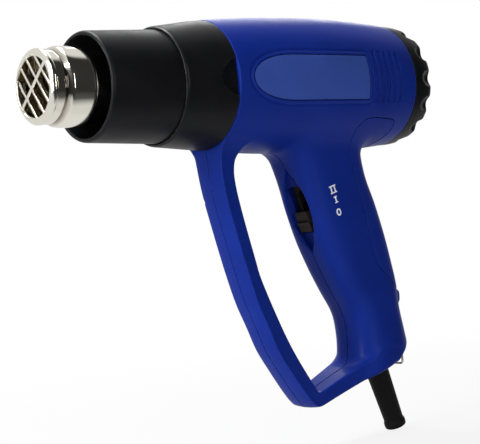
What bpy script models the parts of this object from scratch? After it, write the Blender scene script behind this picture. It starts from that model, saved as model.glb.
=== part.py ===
"""Hot air tool: a pistol-shaped heat gun with a hand guard, built as separate pieces.

Metres, +Z up. The barrel lies along X with the nozzle towards -X. The origin is on the barrel's
axis at the flat end of the rear cap, on which the tool stands when its nozzle points up.
The near side, with the side panel, faces -Y.
"""
import math

import bmesh
import bpy
from mathutils import Matrix, Vector

# Barrel, measured along its axis
NOZZLE_STANDOUT = 0.0292
SLEEVE_LENGTH = 0.0443
COLLAR_LENGTH = 0.0342
HOUSING_LENGTH = 0.1406
CAP_LENGTH = 0.0167

# Plates that carry the tube
PLATE_THICKNESS = 0.0018
SPACER_BACK = 0.0040
SPACER_VENT = 0.0090
HOLDER_VENT = 0.0110
SPIGOT_WALL = 0.0022

# Grille in the nozzle's mouth, tilts in degrees
GRILLE_DEPTH = 0.0028
RIB_TILT = 32.0
RIB_WIDTH = 0.0014
SLAT_TILT = -30.0
SLAT_WIDTH = 0.0012
SLAT_COUNT = 4
SLAT_PITCH = 0.0062

# Barrel radii
NOZZLE_RADIUS = 0.0175
NOZZLE_REAR_RADIUS = 0.0190
NOZZLE_WALL = 0.0010
NOZZLE_GROOVE_BACK = 0.0094
NOZZLE_GROOVE_DEPTH = 0.0007
NOZZLE_GROOVE_LAND = 0.0008
NOZZLE_GROOVE_RAMP = 0.0024
NOZZLE_FLARE = 0.0034
LIP_WIDTH = 0.0029
FLANGE_REACH = 0.0060
FLANGE_THICKNESS = 0.0015
SLEEVE_FRONT_RADIUS = 0.0295
SLEEVE_REAR_RADIUS = 0.0313
SLEEVE_WALL = 0.0024
SLEEVE_SEAT = 0.0130
SLEEVE_BEAD = 0.0015
COLLAR_FRONT_RADIUS = 0.0332
COLLAR_REAR_RADIUS = 0.0364
COLLAR_WALL = 0.0024
COLLAR_SHOULDER = 0.0026
LEAF_SIZE = Vector((0.0125, 0.0058, 0.0100))
LEAF_OUT = 0.0040
BARREL_RADIUS = 0.0402
HOUSING_REAR_RADIUS = 0.0376
CAP_RIM_RADIUS = 0.0332
BARREL_WIDEST_BACK = 0.0750

# Fits
GAP = 0.0003
WALL = 0.0030
SEAM_GAP = 0.0002
SPIGOT_LENGTH = 0.0070
BORE_DEPTH = 0.0110

# Places along X that the lengths give
X_CAP = -CAP_LENGTH
X_HOUSING = X_CAP - HOUSING_LENGTH
X_COLLAR = X_HOUSING - COLLAR_LENGTH
X_SLEEVE = X_COLLAR - SLEEVE_LENGTH
X_NOZZLE = X_SLEEVE - NOZZLE_STANDOUT

# Grip: height, front, back and half width of each section, before its fillets
GRIP_SECTIONS = (
    (0.000, -0.1120, -0.0330, 0.0215),
    (-0.030, -0.1080, -0.0420, 0.0215),
    (-0.041, -0.1010, -0.0455, 0.0200),
    (-0.055, -0.0955, -0.0445, 0.0187),
    (-0.075, -0.0910, -0.0375, 0.0180),
    (-0.095, -0.0850, -0.0315, 0.0175),
    (-0.112, -0.0780, -0.0275, 0.0172),
    (-0.126, -0.0715, -0.0245, 0.0173),
    (-0.140, -0.0645, -0.0215, 0.0178),
    (-0.155, -0.0625, -0.0187, 0.0188),
    (-0.172, -0.0640, -0.0160, 0.0195),
    (-0.200, -0.0660, -0.0130, 0.0195),
)
GRIP_SQUARENESS = 2.7
SWITCH_WALL = 0.0075
BASE_SLOPE = math.radians(18.0)
BASE_POINT = Vector((-0.031, 0.0, -0.1715))
BASE_FLOOR = 0.0065

# Guard: outer point, inner point and half width of each section in the XZ plane
GUARD_SECTIONS = (
    (-0.1560, -0.0250, -0.1350, -0.0250, 0.0125),
    (-0.1568, -0.0355, -0.1395, -0.0355, 0.0122),
    (-0.1576, -0.0400, -0.1445, -0.0400, 0.0118),
    (-0.1572, -0.0480, -0.1478, -0.0480, 0.0115),
    (-0.1542, -0.0690, -0.1452, -0.0680, 0.0113),
    (-0.1466, -0.1010, -0.1377, -0.0990, 0.0111),
    (-0.1393, -0.1250, -0.1303, -0.1222, 0.0110),
    (-0.1315, -0.1455, -0.1224, -0.1420, 0.0108),
    (-0.1215, -0.1650, -0.1124, -0.1605, 0.0107),
    (-0.1120, -0.1790, -0.1035, -0.1745, 0.0106),
    (-0.1065, -0.1865, -0.0996, -0.1812, 0.0106),
    (-0.1020, -0.1902, -0.0984, -0.1826, 0.0106),
    (-0.0970, -0.1915, -0.0966, -0.1828, 0.0108),
    (-0.0900, -0.1909, -0.0930, -0.1818, 0.0112),
    (-0.0780, -0.1872, -0.0810, -0.1779, 0.0130),
    (-0.0640, -0.1827, -0.0665, -0.1725, 0.0160),
    (-0.0480, -0.1775, -0.0500, -0.1660, 0.0180),
)
GUARD_CROWN = 0.33

# Side panel on the near side
PANEL_INSET = 0.0093
PANEL_BACK_INSET = 0.0430
PANEL_FRONT = X_HOUSING + PANEL_INSET
PANEL_BACK = X_CAP - PANEL_BACK_INSET
PANEL_HALF_HEIGHT = 0.0129
PANEL_NOSE = 0.0250
PANEL_THICKNESS = 0.0014
PANEL_SINK = 0.0003
GROOVE_COUNT = 5
GROOVE_PITCH = 0.0052
GROOVE_WIDTH = 0.0026
GROOVE_DEPTH = 0.0011
GROOVE_HEIGHT = 0.0300
GROOVE_LIFT = 0.0008
GROOVE_MARGIN = 0.0069

# Grip pad: its outline on the side of the grip
PAD_OUTLINE = (
    (-0.0300, -0.0250),
    (-0.0520, -0.0232),
    (-0.0605, -0.0262),
    (-0.0640, -0.0340),
    (-0.0635, -0.0440),
    (-0.0590, -0.0660),
    (-0.0545, -0.0840),
    (-0.0497, -0.1030),
    (-0.0430, -0.1165),
    (-0.0330, -0.1250),
    (-0.0100, -0.1290),
    (0.0000, -0.1290),
    (0.0000, -0.0380),
    (-0.0235, -0.0370),
)
PAD_CENTRE = Vector((-0.0200, -0.0750))
PAD_THICKNESS = 0.0013

# Switch: a slide in a slot in the front of the grip
SWITCH_CENTRE = Vector((-0.0873, 0.0, -0.0743))
SWITCH_TILT = math.radians(16.3)
SLOT_LENGTH = 0.0292
SLOT_WIDTH = 0.0120
RECESS_LENGTH = 0.0460
RECESS_WIDTH = 0.0146
RECESS_DEPTH = 0.0042
RECESS_ROUND = 0.0034
SLIDER_LENGTH = 0.0128
SLIDER_HEIGHT = 0.0036
SLIDER_SINK = 0.0012
SLIDER_RIB = 0.0016
SLIDER_STEP = 0.0071
SLIDER_TRAVEL = 2.0 * SLIDER_STEP
STEM_WIDTH = 0.0070
STEM_LENGTH = 0.0060
STEM_REACH = 0.0090
SWITCH_BODY_SIZE = Vector((0.0160, 0.0180, 0.0400))
SWITCH_FLOOR = 0.0037

# What the grip carries behind the switch
BOARD_SIZE = Vector((0.0016, 0.0240, 0.0400))
BOARD_X = -0.0480
BOARD_Z = -0.0800
BOARD_FOOT_X = BOARD_X + 0.5 * BOARD_SIZE.z * math.sin(SWITCH_TILT)
BOARD_FOOT_Z = BOARD_Z - 0.5 * BOARD_SIZE.z * math.cos(SWITCH_TILT) - GAP
RECTIFIER_SIZE = Vector((0.0060, 0.0150, 0.0110))
CAPACITOR_SIZE = Vector((0.0080, 0.0160, 0.0130))
TERMINAL_SIZE = Vector((0.0120, 0.0200, 0.0110))
TERMINAL_X = -0.0480
TERMINAL_Z = -0.1300
RECTIFIER_UP = 0.28
CAPACITOR_DOWN = 0.22
CLAMP_SIZE = Vector((0.0220, 0.0090, 0.0050))
SHELF_WIDTH = 0.0320
SHELF_THICKNESS = 0.0016
BOARD_SHELF_REACH = 0.0062
TERMINAL_SHELF_REACH = 0.0080

# Cord outlet under the base
BOOT_POINT = Vector((-0.0400, 0.0, -0.1744))
BOOT_LENGTH = 0.0437
BOOT_TOP_RADIUS = 0.0073
BOOT_END_RADIUS = 0.0062
BOOT_FLANGE_RADIUS = 0.0069
BOOT_FLANGE = 0.0032
BOOT_BORE_RADIUS = 0.0038
BOOT_COLLAR_RADIUS = 0.0098
BOOT_COLLAR_LENGTH = 0.0035

# Hanging bail
BAIL_PIVOT = Vector((-0.0250, 0.0, -0.1665))
BAIL_DROP = 0.0098
BAIL_HALF_WIDTH = 0.0100
BAIL_WIRE = 0.00075
BAIL_CORNER = 0.0016
BAIL_CLEARANCE = 0.0004

# Fan, motor and heater
DUCT_RADIUS = 0.0285
DUCT_WALL = 0.0015
RIB_INSET = 0.0050
RIB_THICKNESS = 0.0024
FAN_CLEARANCE = 0.0008
FAN_LENGTH = 0.0180
FAN_HUB_RADIUS = 0.0095
FAN_NOSE = 0.0025
BLADE_INSET = 0.0030
BLADE_ROOT = 0.0010
BLADE_COUNT = 7
BLADE_THICKNESS = 0.0012
BLADE_TWIST = math.radians(38.0)
VANE_COUNT = 5
VANE_THICKNESS = 0.0014
MOTOR_RADIUS = 0.0138
MOTOR_LENGTH = 0.0400
MOTOR_INSET = 0.0653
MOTOR_FRONT = X_CAP - MOTOR_INSET - MOTOR_LENGTH
DUCT_LEAD = 0.0050
DUCT_BACK_INSET = 0.0253
DUCT_FRONT = MOTOR_FRONT - DUCT_LEAD
DUCT_BACK = X_CAP - DUCT_BACK_INSET
FAN_STANDOFF = 0.0080
FAN_FRONT = MOTOR_FRONT + MOTOR_LENGTH + FAN_STANDOFF
MOTOR_WALL = 0.0012
END_CAP_LENGTH = 0.0060
MAGNET_INSET = 0.0030
MAGNET_SPLIT = 0.0020
ARMATURE_SLOT = Vector((0.0500, 0.0022, 0.0050))
BUSH_OUT = 0.0010
SHAFT_OUT = 0.0010
CUP_WALL = 0.0014
CUP_LENGTH = 0.0300
SHAFT_RADIUS = 0.00115
SHAFT_CLEARANCE = 0.0003
BUSH_RADIUS = 0.0035
BUSH_LENGTH = 0.0040
MAGNET_THICKNESS = 0.0028
ARMATURE_RADIUS = 0.0086
ARMATURE_LENGTH = 0.0220
FUNNEL_INSET = 0.0013
FUNNEL_FRONT = X_HOUSING + FUNNEL_INSET
FUNNEL_LAND = 0.0040
LINER_WALL = 0.0005
LINER_INSET = 0.0150
LINER_FRONT = X_NOZZLE + LINER_INSET
CORE_LENGTH = 0.0800
CORE_INSET = 0.0060
CORE_FRONT = LINER_FRONT + CORE_INSET
CORE_RADIUS = 0.0125
CORE_ARM = 0.0030
COIL_TURNS = 7
COIL_STEPS = 10
COIL_WIRE = 0.0006
COIL_MARGIN = 0.0040
ENDPLATE_THICKNESS = 0.0025
PLATE_HOLE = 0.0040
PLATE_HOLE_OUT = 0.0105
CUTOUT_SIZE = Vector((0.0110, 0.0060, 0.0040))

# Rear cap
SCOOP_COUNT = 14
SCOOP_RADIUS = 0.0075
SCOOP_OUT = 0.0403
CAP_FACE_INNER = 0.0290
CAP_HUB_RADIUS = 0.0090
CAP_EDGE_TAPER = 0.0010
SLOT_MARGIN = 0.0032
CAP_FACE_SINK = 0.0020
CAP_FACE_THICKNESS = 0.0022
CAP_SLOT_COUNT = 14
CAP_SLOT_WIDTH = 0.0030
SCREEN_THICKNESS = 0.0006
SCREEN_HOLE_PITCH = 0.0105
SCREEN_HOLE = 0.0075

# Fasteners: along the barrel, in the grip and in the guard, as places in the XZ plane
BACK_SCREW_INSET = 0.0133
FRONT_SCREW_INSET = 0.0173
BARREL_SCREWS = (X_CAP - BACK_SCREW_INSET, X_HOUSING + FRONT_SCREW_INSET)
BARREL_SCREW_REACH = 0.0120
GRIP_SCREWS = (
    (-0.0690, -0.0450),
    (-0.0400, -0.1180),
    (-0.0330, -0.1520),
)
GUARD_SCREWS = (
    (-0.1015, -0.1858),
    (-0.1508, -0.0640),
)
GUARD_SCREW_REACH = 0.0097
BOSS_RADIUS = 0.0036
SCREW_RADIUS = 0.0013
SCREW_HEAD_RADIUS = 0.0026
SCREW_HEAD_HEIGHT = 0.0020
SCREW_DEPTH = 0.0035
SCREW_REACH = 0.0080
SCREW_AROUND = 8

SMOOTH_ANGLE = math.radians(35.0)
AROUND = 28
INNER_AROUND = 20


def clear_scene():
    """Remove what the file holds before the part is built."""
    for item in list(bpy.data.objects):
        bpy.data.objects.remove(item, do_unlink=True)
    for blocks in (bpy.data.meshes, bpy.data.curves, bpy.data.materials):
        for block in list(blocks):
            blocks.remove(block)


def material(name, colour, roughness, metallic=0.0):
    """A Principled material with a colour, a roughness and a metallic value."""
    made = bpy.data.materials.new(name)
    made.use_nodes = True
    shader = made.node_tree.nodes["Principled BSDF"]
    shader.inputs["Base Color"].default_value = (*colour, 1.0)
    shader.inputs["Roughness"].default_value = roughness
    shader.inputs["Metallic"].default_value = metallic
    made.diffuse_color = (*colour, 1.0)
    return made


BLUE = (0.022, 0.050, 0.240)
PANEL_BLUE = (0.040, 0.075, 0.230)
BLACK = (0.012, 0.012, 0.014)
CHROME = (0.720, 0.690, 0.640)
STEEL = (0.450, 0.450, 0.460)
CERAMIC = (0.780, 0.740, 0.660)
MICA = (0.480, 0.400, 0.260)
COPPER = (0.560, 0.250, 0.120)
BRASS = (0.620, 0.450, 0.160)
BOARD_GREEN = (0.030, 0.140, 0.060)
IVORY = (0.700, 0.680, 0.600)


def finish(obj, colour, roughness, metallic=0.0):
    """Give an object its own material and smooth shading."""
    obj.data.materials.clear()
    obj.data.materials.append(material(obj.name, colour, roughness, metallic))
    if obj.type == "MESH":
        obj.data.shade_smooth()
        obj.data.set_sharp_from_angle(angle=SMOOTH_ANGLE)
    return obj


def as_object(name, bm):
    """Turn a bmesh into an object with its faces pointing out."""
    bmesh.ops.recalc_face_normals(bm, faces=bm.faces)
    mesh = bpy.data.meshes.new(name)
    bm.to_mesh(mesh)
    bm.free()
    obj = bpy.data.objects.new(name, mesh)
    bpy.context.scene.collection.objects.link(obj)
    return obj


def guide(obj):
    """Mark a cutter or a form that shapes other pieces."""
    obj.hide_render = True
    obj.display_type = "WIRE"
    return obj


def boolean(obj, other, operation):
    """Add a Boolean modifier that keeps the exact solver."""
    modifier = obj.modifiers.new(operation.title() + " " + other.name, "BOOLEAN")
    modifier.operation = operation
    modifier.solver = "EXACT"
    modifier.object = other
    return obj


def cut(obj, *others):
    """Cut each guide out of an object."""
    for other in others:
        boolean(obj, other, "DIFFERENCE")
    return obj


def join(obj, *others):
    """Join each guide to an object."""
    for other in others:
        boolean(obj, other, "UNION")
    return obj


def keep_inside(obj, other):
    """Keep only what lies inside a guide."""
    return boolean(obj, other, "INTERSECT")


def loft(name, rings):
    """Skin rings of equally many points, and cap both ends."""
    bm = bmesh.new()
    made = [[bm.verts.new(point) for point in ring] for ring in rings]
    count = len(made[0])
    for first, second in zip(made, made[1:]):
        for index in range(count):
            after = (index + 1) % count
            bm.faces.new((first[index], first[after], second[after], second[index]))
    bm.faces.new(made[0])
    bm.faces.new(made[-1])
    return as_object(name, bm)


def turned(name, profile, around=AROUND, phase=0.0):
    """Turn a closed profile of (x, radius) points about the X axis.

    Points on the axis close the shape there with a flat face.
    """
    bm = bmesh.new()
    rows = []
    for x, radius in profile:
        row = None
        if radius > 0.0:
            row = []
            for index in range(around):
                angle = 2.0 * math.pi * (index + phase) / around
                row.append(bm.verts.new((x, radius * math.sin(angle), radius * math.cos(angle))))
        rows.append(row)
    for index, first in enumerate(rows):
        second = rows[(index + 1) % len(rows)]
        if first is None and second is None:
            continue
        if first is None or second is None:
            bm.faces.new(first or second)
            continue
        for step in range(around):
            after = (step + 1) % around
            bm.faces.new((first[step], first[after], second[after], second[step]))
    return as_object(name, bm)


def ring(name, x_front, x_back, outer, inner, around=AROUND, phase=0.0):
    """A plain ring along X."""
    profile = ((x_front, outer), (x_back, outer), (x_back, inner), (x_front, inner))
    return turned(name, profile, around, phase)


def disc(name, x_front, x_back, radius, around=AROUND, phase=0.0):
    """A plain solid disc or rod along X."""
    profile = ((x_front, 0.0), (x_front, radius), (x_back, radius), (x_back, 0.0))
    return turned(name, profile, around, phase)


def block(name, size, matrix):
    """A box of a given size, placed by a matrix that its mesh keeps."""
    bm = bmesh.new()
    bmesh.ops.create_cube(bm, size=1.0, matrix=matrix @ Matrix.Diagonal((*size, 1.0)))
    return as_object(name, bm)


def rod(name, radius, length, matrix, around=16, end_radius=None):
    """A rod centred on the matrix, along its local Z."""
    bm = bmesh.new()
    top = radius if end_radius is None else end_radius
    bmesh.ops.create_cone(
        bm, cap_ends=True, segments=around, radius1=radius, radius2=top, depth=length, matrix=matrix
    )
    return as_object(name, bm)


def add_cylinder(bm, radius, length, matrix, around):
    """Add a closed cylinder along the matrix's local Z."""
    bmesh.ops.create_cone(
        bm, cap_ends=True, segments=around, radius1=radius, radius2=radius, depth=length, matrix=matrix
    )


def prism(name, outline, y_low, y_high):
    """Extrude an outline in the XZ plane along Y."""
    low = [(x, y_low, z) for x, z in outline]
    high = [(x, y_high, z) for x, z in outline]
    return loft(name, (low, high))


def place(x, y, z):
    """A matrix that only moves."""
    return Matrix.Translation((x, y, z))


def along_y(x, y, z):
    """A matrix whose local Z runs along Y."""
    return place(x, y, z) @ Matrix.Rotation(math.radians(-90.0), 4, "X")


def along_x(x, y, z):
    """A matrix whose local Z runs along X."""
    return place(x, y, z) @ Matrix.Rotation(math.radians(90.0), 4, "Y")


def barrel_radius(x):
    """The barrel's outer radius: two parabolas that meet at its widest place."""
    widest = -BARREL_WIDEST_BACK
    if x < widest:
        share = (x - widest) / (X_HOUSING - widest)
        return BARREL_RADIUS - (BARREL_RADIUS - COLLAR_REAR_RADIUS) * share * share
    share = (x - widest) / (X_CAP - widest)
    return BARREL_RADIUS - (BARREL_RADIUS - HOUSING_REAR_RADIUS) * share * share


def barrel_form(name, inset, x_front, x_back, phase=0.0, steps=5):
    """The barrel as a solid, drawn in by an inset."""
    profile = [(x_front, 0.0)]
    for index in range(steps + 1):
        x = x_front + (x_back - x_front) * index / steps
        profile.append((x, barrel_radius(x) - inset))
    profile.append((x_back, 0.0))
    return guide(turned(name, profile, AROUND, phase))


def oval(front, back, half_width, z, points=18):
    """A rounded section of the grip at one height."""
    centre = 0.5 * (front + back)
    half_length = 0.5 * (back - front)
    power = 2.0 / GRIP_SQUARENESS
    outline = []
    for index in range(points):
        angle = 2.0 * math.pi * (index + 0.5) / points
        cosine = math.cos(angle)
        sine = math.sin(angle)
        x = centre + half_length * math.copysign(abs(cosine) ** power, cosine)
        y = half_width * math.copysign(abs(sine) ** power, sine)
        outline.append((x, y, z))
    return outline


def grip_form(name, inset, front_inset):
    """The grip as a solid, drawn in by an inset, with its own inset at the front."""
    rings = []
    for z, front, back, half_width in GRIP_SECTIONS:
        rings.append(oval(front + front_inset, back - inset, half_width - inset, z))
    return guide(loft(name, rings))


def guard_section(outer, inner, half_width):
    """One crowned section of the guard between its outer and inner points."""
    across = inner - outer
    side = Vector((0.0, half_width, 0.0))
    shares = ((0.0, 0.0), (0.05, 0.45), (GUARD_CROWN, 0.95), (0.45, 1.0), (0.88, 1.0), (1.0, 0.84))
    one = [outer + across * deep + side * wide for deep, wide in shares]
    other = [outer + across * deep - side * wide for deep, wide in reversed(shares[1:])]
    return one + other


def guard_form(name):
    """The guard and the bottom bar, from the barrel round the corner to the grip's base."""
    rings = []
    for outer_x, outer_z, inner_x, inner_z, half_width in GUARD_SECTIONS:
        outer = Vector((outer_x, 0.0, outer_z))
        inner = Vector((inner_x, 0.0, inner_z))
        rings.append(guard_section(outer, inner, half_width))
    return guide(loft(name, rings))


def base_cutter(name, lift):
    """A slanted block that trims everything under the base, raised by a lift."""
    size = Vector((2.0 * HOUSING_LENGTH, 3.0 * BARREL_RADIUS, 3.0 * BARREL_RADIUS))
    turn = Matrix.Rotation(-BASE_SLOPE, 4, "Y")
    centre = BASE_POINT + turn @ Vector((0.0, 0.0, lift - 0.5 * size.z))
    return guide(block(name, size, Matrix.Translation(centre) @ turn))


def outer_form(name, inset):
    """The whole handle and barrel without the guard, drawn in by an inset."""
    form = barrel_form(name, inset, X_HOUSING, X_CAP)
    join(form, grip_form(name + "_grip", inset, inset))
    cut(form, base_cutter(name + "_base", inset))
    return form


def panel_outline(grow):
    """The side panel's outline: straight at the back, arched to a nose at the front."""
    half = PANEL_HALF_HEIGHT + grow
    back = PANEL_BACK + grow
    nose = PANEL_FRONT - grow
    points = [(back, -half), (back, half)]
    steps = 12
    for index in range(steps + 1):
        angle = math.pi * index / steps
        reach = math.sin(angle) ** 0.85
        points.append((nose + (PANEL_NOSE + grow) * (1.0 - reach), half * math.cos(angle)))
    return points


def side_panel():
    """The bare inlay on the near side."""
    panel = prism("side_panel", panel_outline(0.0), -1.5 * BARREL_RADIUS, -0.3 * BARREL_RADIUS)
    outside = barrel_form("panel_outside", PANEL_SINK, X_HOUSING, X_CAP)
    inside = barrel_form("panel_inside", PANEL_SINK + PANEL_THICKNESS, X_HOUSING, X_CAP)
    keep_inside(panel, outside)
    cut(panel, inside)
    return finish(panel, PANEL_BLUE, 0.45)


def panel_pocket():
    """The pocket that the side panel lies in."""
    pocket = guide(prism("panel_pocket", panel_outline(GAP), -1.5 * BARREL_RADIUS, -0.3 * BARREL_RADIUS))
    floor = barrel_form("panel_floor", PANEL_SINK + PANEL_THICKNESS + GAP, X_HOUSING, X_CAP)
    return cut(pocket, floor)


def side_grooves(name, side):
    """The row of upright grooves behind the panel, on one side."""
    bm = bmesh.new()
    for index in range(GROOVE_COUNT):
        x = PANEL_BACK + GROOVE_MARGIN + GROOVE_PITCH * index
        size = (GROOVE_WIDTH, BARREL_RADIUS, GROOVE_HEIGHT, 1.0)
        centre = Matrix.Translation((x, side * BARREL_RADIUS, GROOVE_LIFT))
        bmesh.ops.create_cube(bm, size=1.0, matrix=centre @ Matrix.Diagonal(size))
    grooves = guide(as_object(name, bm))
    return cut(grooves, barrel_form(name + "_floor", GROOVE_DEPTH, X_HOUSING, X_CAP))


def pad_prism(name, grow):
    """The grip pad's outline through the whole width, grown by a clearance."""
    outline = []
    for x, z in PAD_OUTLINE:
        point = Vector((x, z))
        away = (point - PAD_CENTRE).normalized()
        grown = point + away * grow
        outline.append((grown.x, grown.y))
    return prism(name, outline, -1.5 * BARREL_RADIUS, 1.5 * BARREL_RADIUS)


def grip_pad(outer):
    """The pad that wraps the back of the grip."""
    pad = pad_prism("grip_pad", 0.0)
    keep_inside(pad, outer)
    cut(pad, outer_form("pad_inside", PAD_THICKNESS))
    return finish(pad, BLUE, 0.55)


def pad_pocket():
    """The pocket that the grip pad lies in."""
    pocket = guide(pad_prism("pad_pocket", GAP))
    return cut(pocket, outer_form("pad_floor", PAD_THICKNESS + GAP))


def switch_matrix(along=0.0, deep=0.0):
    """The switch's own frame: X into the grip, Z up along the slot."""
    turn = Matrix.Rotation(-SWITCH_TILT, 4, "Y")
    centre = SWITCH_CENTRE + turn @ Vector((deep, 0.0, along))
    return Matrix.Translation(centre) @ turn


def switch_recess():
    """The dished recess round the switch's slot."""
    bm = bmesh.new()
    size = (2.0 * RECESS_DEPTH, RECESS_WIDTH, RECESS_LENGTH, 1.0)
    matrix = switch_matrix(deep=-RECESS_DEPTH) @ Matrix.Diagonal(size)
    bmesh.ops.create_cube(bm, size=1.0, matrix=matrix)
    recess = guide(as_object("switch_recess", bm))
    bevel = recess.modifiers.new("Round ends", "BEVEL")
    bevel.width = RECESS_ROUND
    bevel.segments = 2
    return recess


def switch_slot():
    """The slot that the slider's stem runs in."""
    size = (4.0 * SWITCH_WALL, SLOT_WIDTH, SLOT_LENGTH)
    return guide(block("switch_slot", size, switch_matrix()))


def switch_seat():
    """The flat seat inside the grip that the switch lies against."""
    size = (SWITCH_BODY_SIZE.y, SWITCH_BODY_SIZE.x + 2.0 * GAP, SWITCH_BODY_SIZE.z + 2.0 * GAP)
    deep = SWITCH_FLOOR + 0.5 * SWITCH_BODY_SIZE.y
    return guide(block("switch_seat", size, switch_matrix(0.0, deep)))


def interior_forms():
    """The hollow of the barrel and of the grip."""
    barrel = barrel_form("barrel_hollow", WALL, X_HOUSING + BORE_DEPTH, X_CAP - BORE_DEPTH, 0.5)
    join(barrel, front_bore(), rear_bore())
    grip = grip_form("grip_hollow", WALL, SWITCH_WALL)
    cut(grip, base_cutter("hollow_floor", BASE_FLOOR))
    return barrel, grip


def front_bore():
    """The bore that the collar's spigot seats in."""
    radius = COLLAR_REAR_RADIUS - COLLAR_WALL
    front = X_HOUSING - BORE_DEPTH
    return guide(disc("front_bore", front, X_HOUSING + 1.1 * BORE_DEPTH, radius, AROUND, 0.25))


def rear_bore():
    """The bore that the rear cap's spigot seats in."""
    radius = HOUSING_REAR_RADIUS - COLLAR_WALL
    return guide(disc("rear_bore", X_CAP - 1.1 * BORE_DEPTH, X_CAP + BORE_DEPTH, radius, AROUND, 0.25))


def duct_ribs():
    """Two rings inside the barrel that carry the fan duct."""
    ribs = []
    for index, x in enumerate((DUCT_FRONT + RIB_INSET, DUCT_BACK - RIB_INSET)):
        outer = barrel_radius(x) - 0.5 * WALL
        name = "duct_rib_%d" % index
        back = x + RIB_THICKNESS
        ribs.append(guide(ring(name, x, back, outer, DUCT_RADIUS + GAP, INNER_AROUND, 0.25)))
    return ribs


def grip_half_width(z):
    """The grip's half width at one height."""
    for upper, lower in zip(GRIP_SECTIONS, GRIP_SECTIONS[1:]):
        if upper[0] >= z >= lower[0]:
            share = (upper[0] - z) / (upper[0] - lower[0])
            return upper[3] + (lower[3] - upper[3]) * share
    return GRIP_SECTIONS[-1][3]


def boss_places():
    """Every boss: place in the XZ plane, and its reach along Y."""
    places = []
    for x in BARREL_SCREWS:
        z = barrel_radius(x) - WALL - BOSS_RADIUS
        places.append((x, z, BARREL_SCREW_REACH))
    for x, z in GRIP_SCREWS:
        places.append((x, z, grip_half_width(z) - 0.7 * WALL))
    return places


def screw_places():
    """Every screw: place in the XZ plane, and how far out its seat lies along Y."""
    return boss_places() + [(x, z, GUARD_SCREW_REACH) for x, z in GUARD_SCREWS]


def screw_bosses():
    """The bosses that join the two halves."""
    bosses = []
    for index, (x, z, reach) in enumerate(boss_places()):
        spot = along_y(x, 0.0, z)
        bosses.append(guide(rod("boss_%d" % index, BOSS_RADIUS, 2.0 * reach, spot, SCREW_AROUND)))
    return bosses


def grip_shelves():
    """The shelves across the grip that carry the board and the terminal block."""
    shelves = []
    under_terminal = TERMINAL_Z - 0.5 * TERMINAL_SIZE.z
    for name, x, reach, under in (
        ("board_shelf", BOARD_FOOT_X, BOARD_SHELF_REACH, BOARD_FOOT_Z),
        ("terminal_shelf", TERMINAL_X, TERMINAL_SHELF_REACH, under_terminal),
    ):
        size = (2.0 * reach, SHELF_WIDTH, SHELF_THICKNESS)
        spot = place(x, 0.0, under - GAP - 0.5 * SHELF_THICKNESS)
        shelves.append(guide(block(name, size, spot)))
    return shelves


def stepped_pin(bm, x, z, section, around):
    """Add a stepped pin along Y: the section lists (y, radius) from one end to the other."""
    rows = []
    for y, radius in section:
        row = []
        for index in range(around):
            angle = 2.0 * math.pi * index / around
            row.append(bm.verts.new((x + radius * math.cos(angle), y, z + radius * math.sin(angle))))
        rows.append(row)
    for first, second in zip(rows, rows[1:]):
        for index in range(around):
            after = (index + 1) % around
            bm.faces.new((first[index], first[after], second[after], second[index]))
    bm.faces.new(rows[0])
    bm.faces.new(rows[-1])


def screw_holes():
    """Clearance holes and counterbores for the screws, as one guide."""
    bm = bmesh.new()
    clear = 1.5 * GAP
    for x, z, reach in screw_places():
        head = reach - SCREW_DEPTH
        section = (
            (head + BARREL_RADIUS, SCREW_HEAD_RADIUS + clear),
            (head, SCREW_HEAD_RADIUS + clear),
            (head, SCREW_RADIUS + clear),
            (-SCREW_REACH - clear, SCREW_RADIUS + clear),
        )
        stepped_pin(bm, x, z, section, SCREW_AROUND)
    return guide(as_object("screw_holes", bm))


def housing_screws():
    """The screws that hold the halves together, each its own piece."""
    for index, (x, z, reach) in enumerate(screw_places()):
        bm = bmesh.new()
        head = reach - SCREW_DEPTH + GAP
        section = (
            (head + SCREW_HEAD_HEIGHT, SCREW_HEAD_RADIUS),
            (head, SCREW_HEAD_RADIUS),
            (head, SCREW_RADIUS),
            (-SCREW_REACH, SCREW_RADIUS),
        )
        stepped_pin(bm, x, z, section, SCREW_AROUND)
        finish(as_object("housing_screw_%d" % (index + 1), bm), STEEL, 0.35, 1.0)


def bail_slots():
    """The tunnel and the two slots that the bail turns in."""
    bm = bmesh.new()
    pivot = along_y(BAIL_PIVOT.x, 0.0, BAIL_PIVOT.z)
    radius = BAIL_WIRE + BAIL_CLEARANCE
    add_cylinder(bm, radius, 2.0 * (BAIL_HALF_WIDTH + radius), pivot, 12)
    slots = guide(as_object("bail_tunnel", bm))
    for name, side in (("bail_slot_near", -1.0), ("bail_slot_far", 1.0)):
        y = side * BAIL_HALF_WIDTH
        size = Vector((BAIL_DROP, 2.0 * radius + GAP, 1.2 * BAIL_DROP))
        centre = place(BAIL_PIVOT.x, y, BAIL_PIVOT.z + radius - 0.5 * size.z)
        join(slots, guide(block(name, size, centre)))
    return slots


def boot_matrix(out=0.0):
    """The strain relief's frame: local Z points out of the base."""
    turn = Matrix.Rotation(math.pi - BASE_SLOPE, 4, "Y")
    return Matrix.Translation(BOOT_POINT + turn @ Vector((0.0, 0.0, out))) @ turn


def boot_hole():
    """The hole in the base for the strain relief."""
    radius = BOOT_TOP_RADIUS + GAP
    return guide(rod("boot_hole", radius, 4.0 * BASE_FLOOR, boot_matrix(), INNER_AROUND))


def half_space(name, side):
    """A block that removes everything on one side of the seam."""
    length = -2.5 * X_NOZZLE
    size = Vector((length, 5.0 * BARREL_RADIUS, length))
    centre = place(0.5 * X_HOUSING, side * 0.5 * (size.y - SEAM_GAP), BASE_POINT.z)
    return guide(block(name, size, centre))


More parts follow.
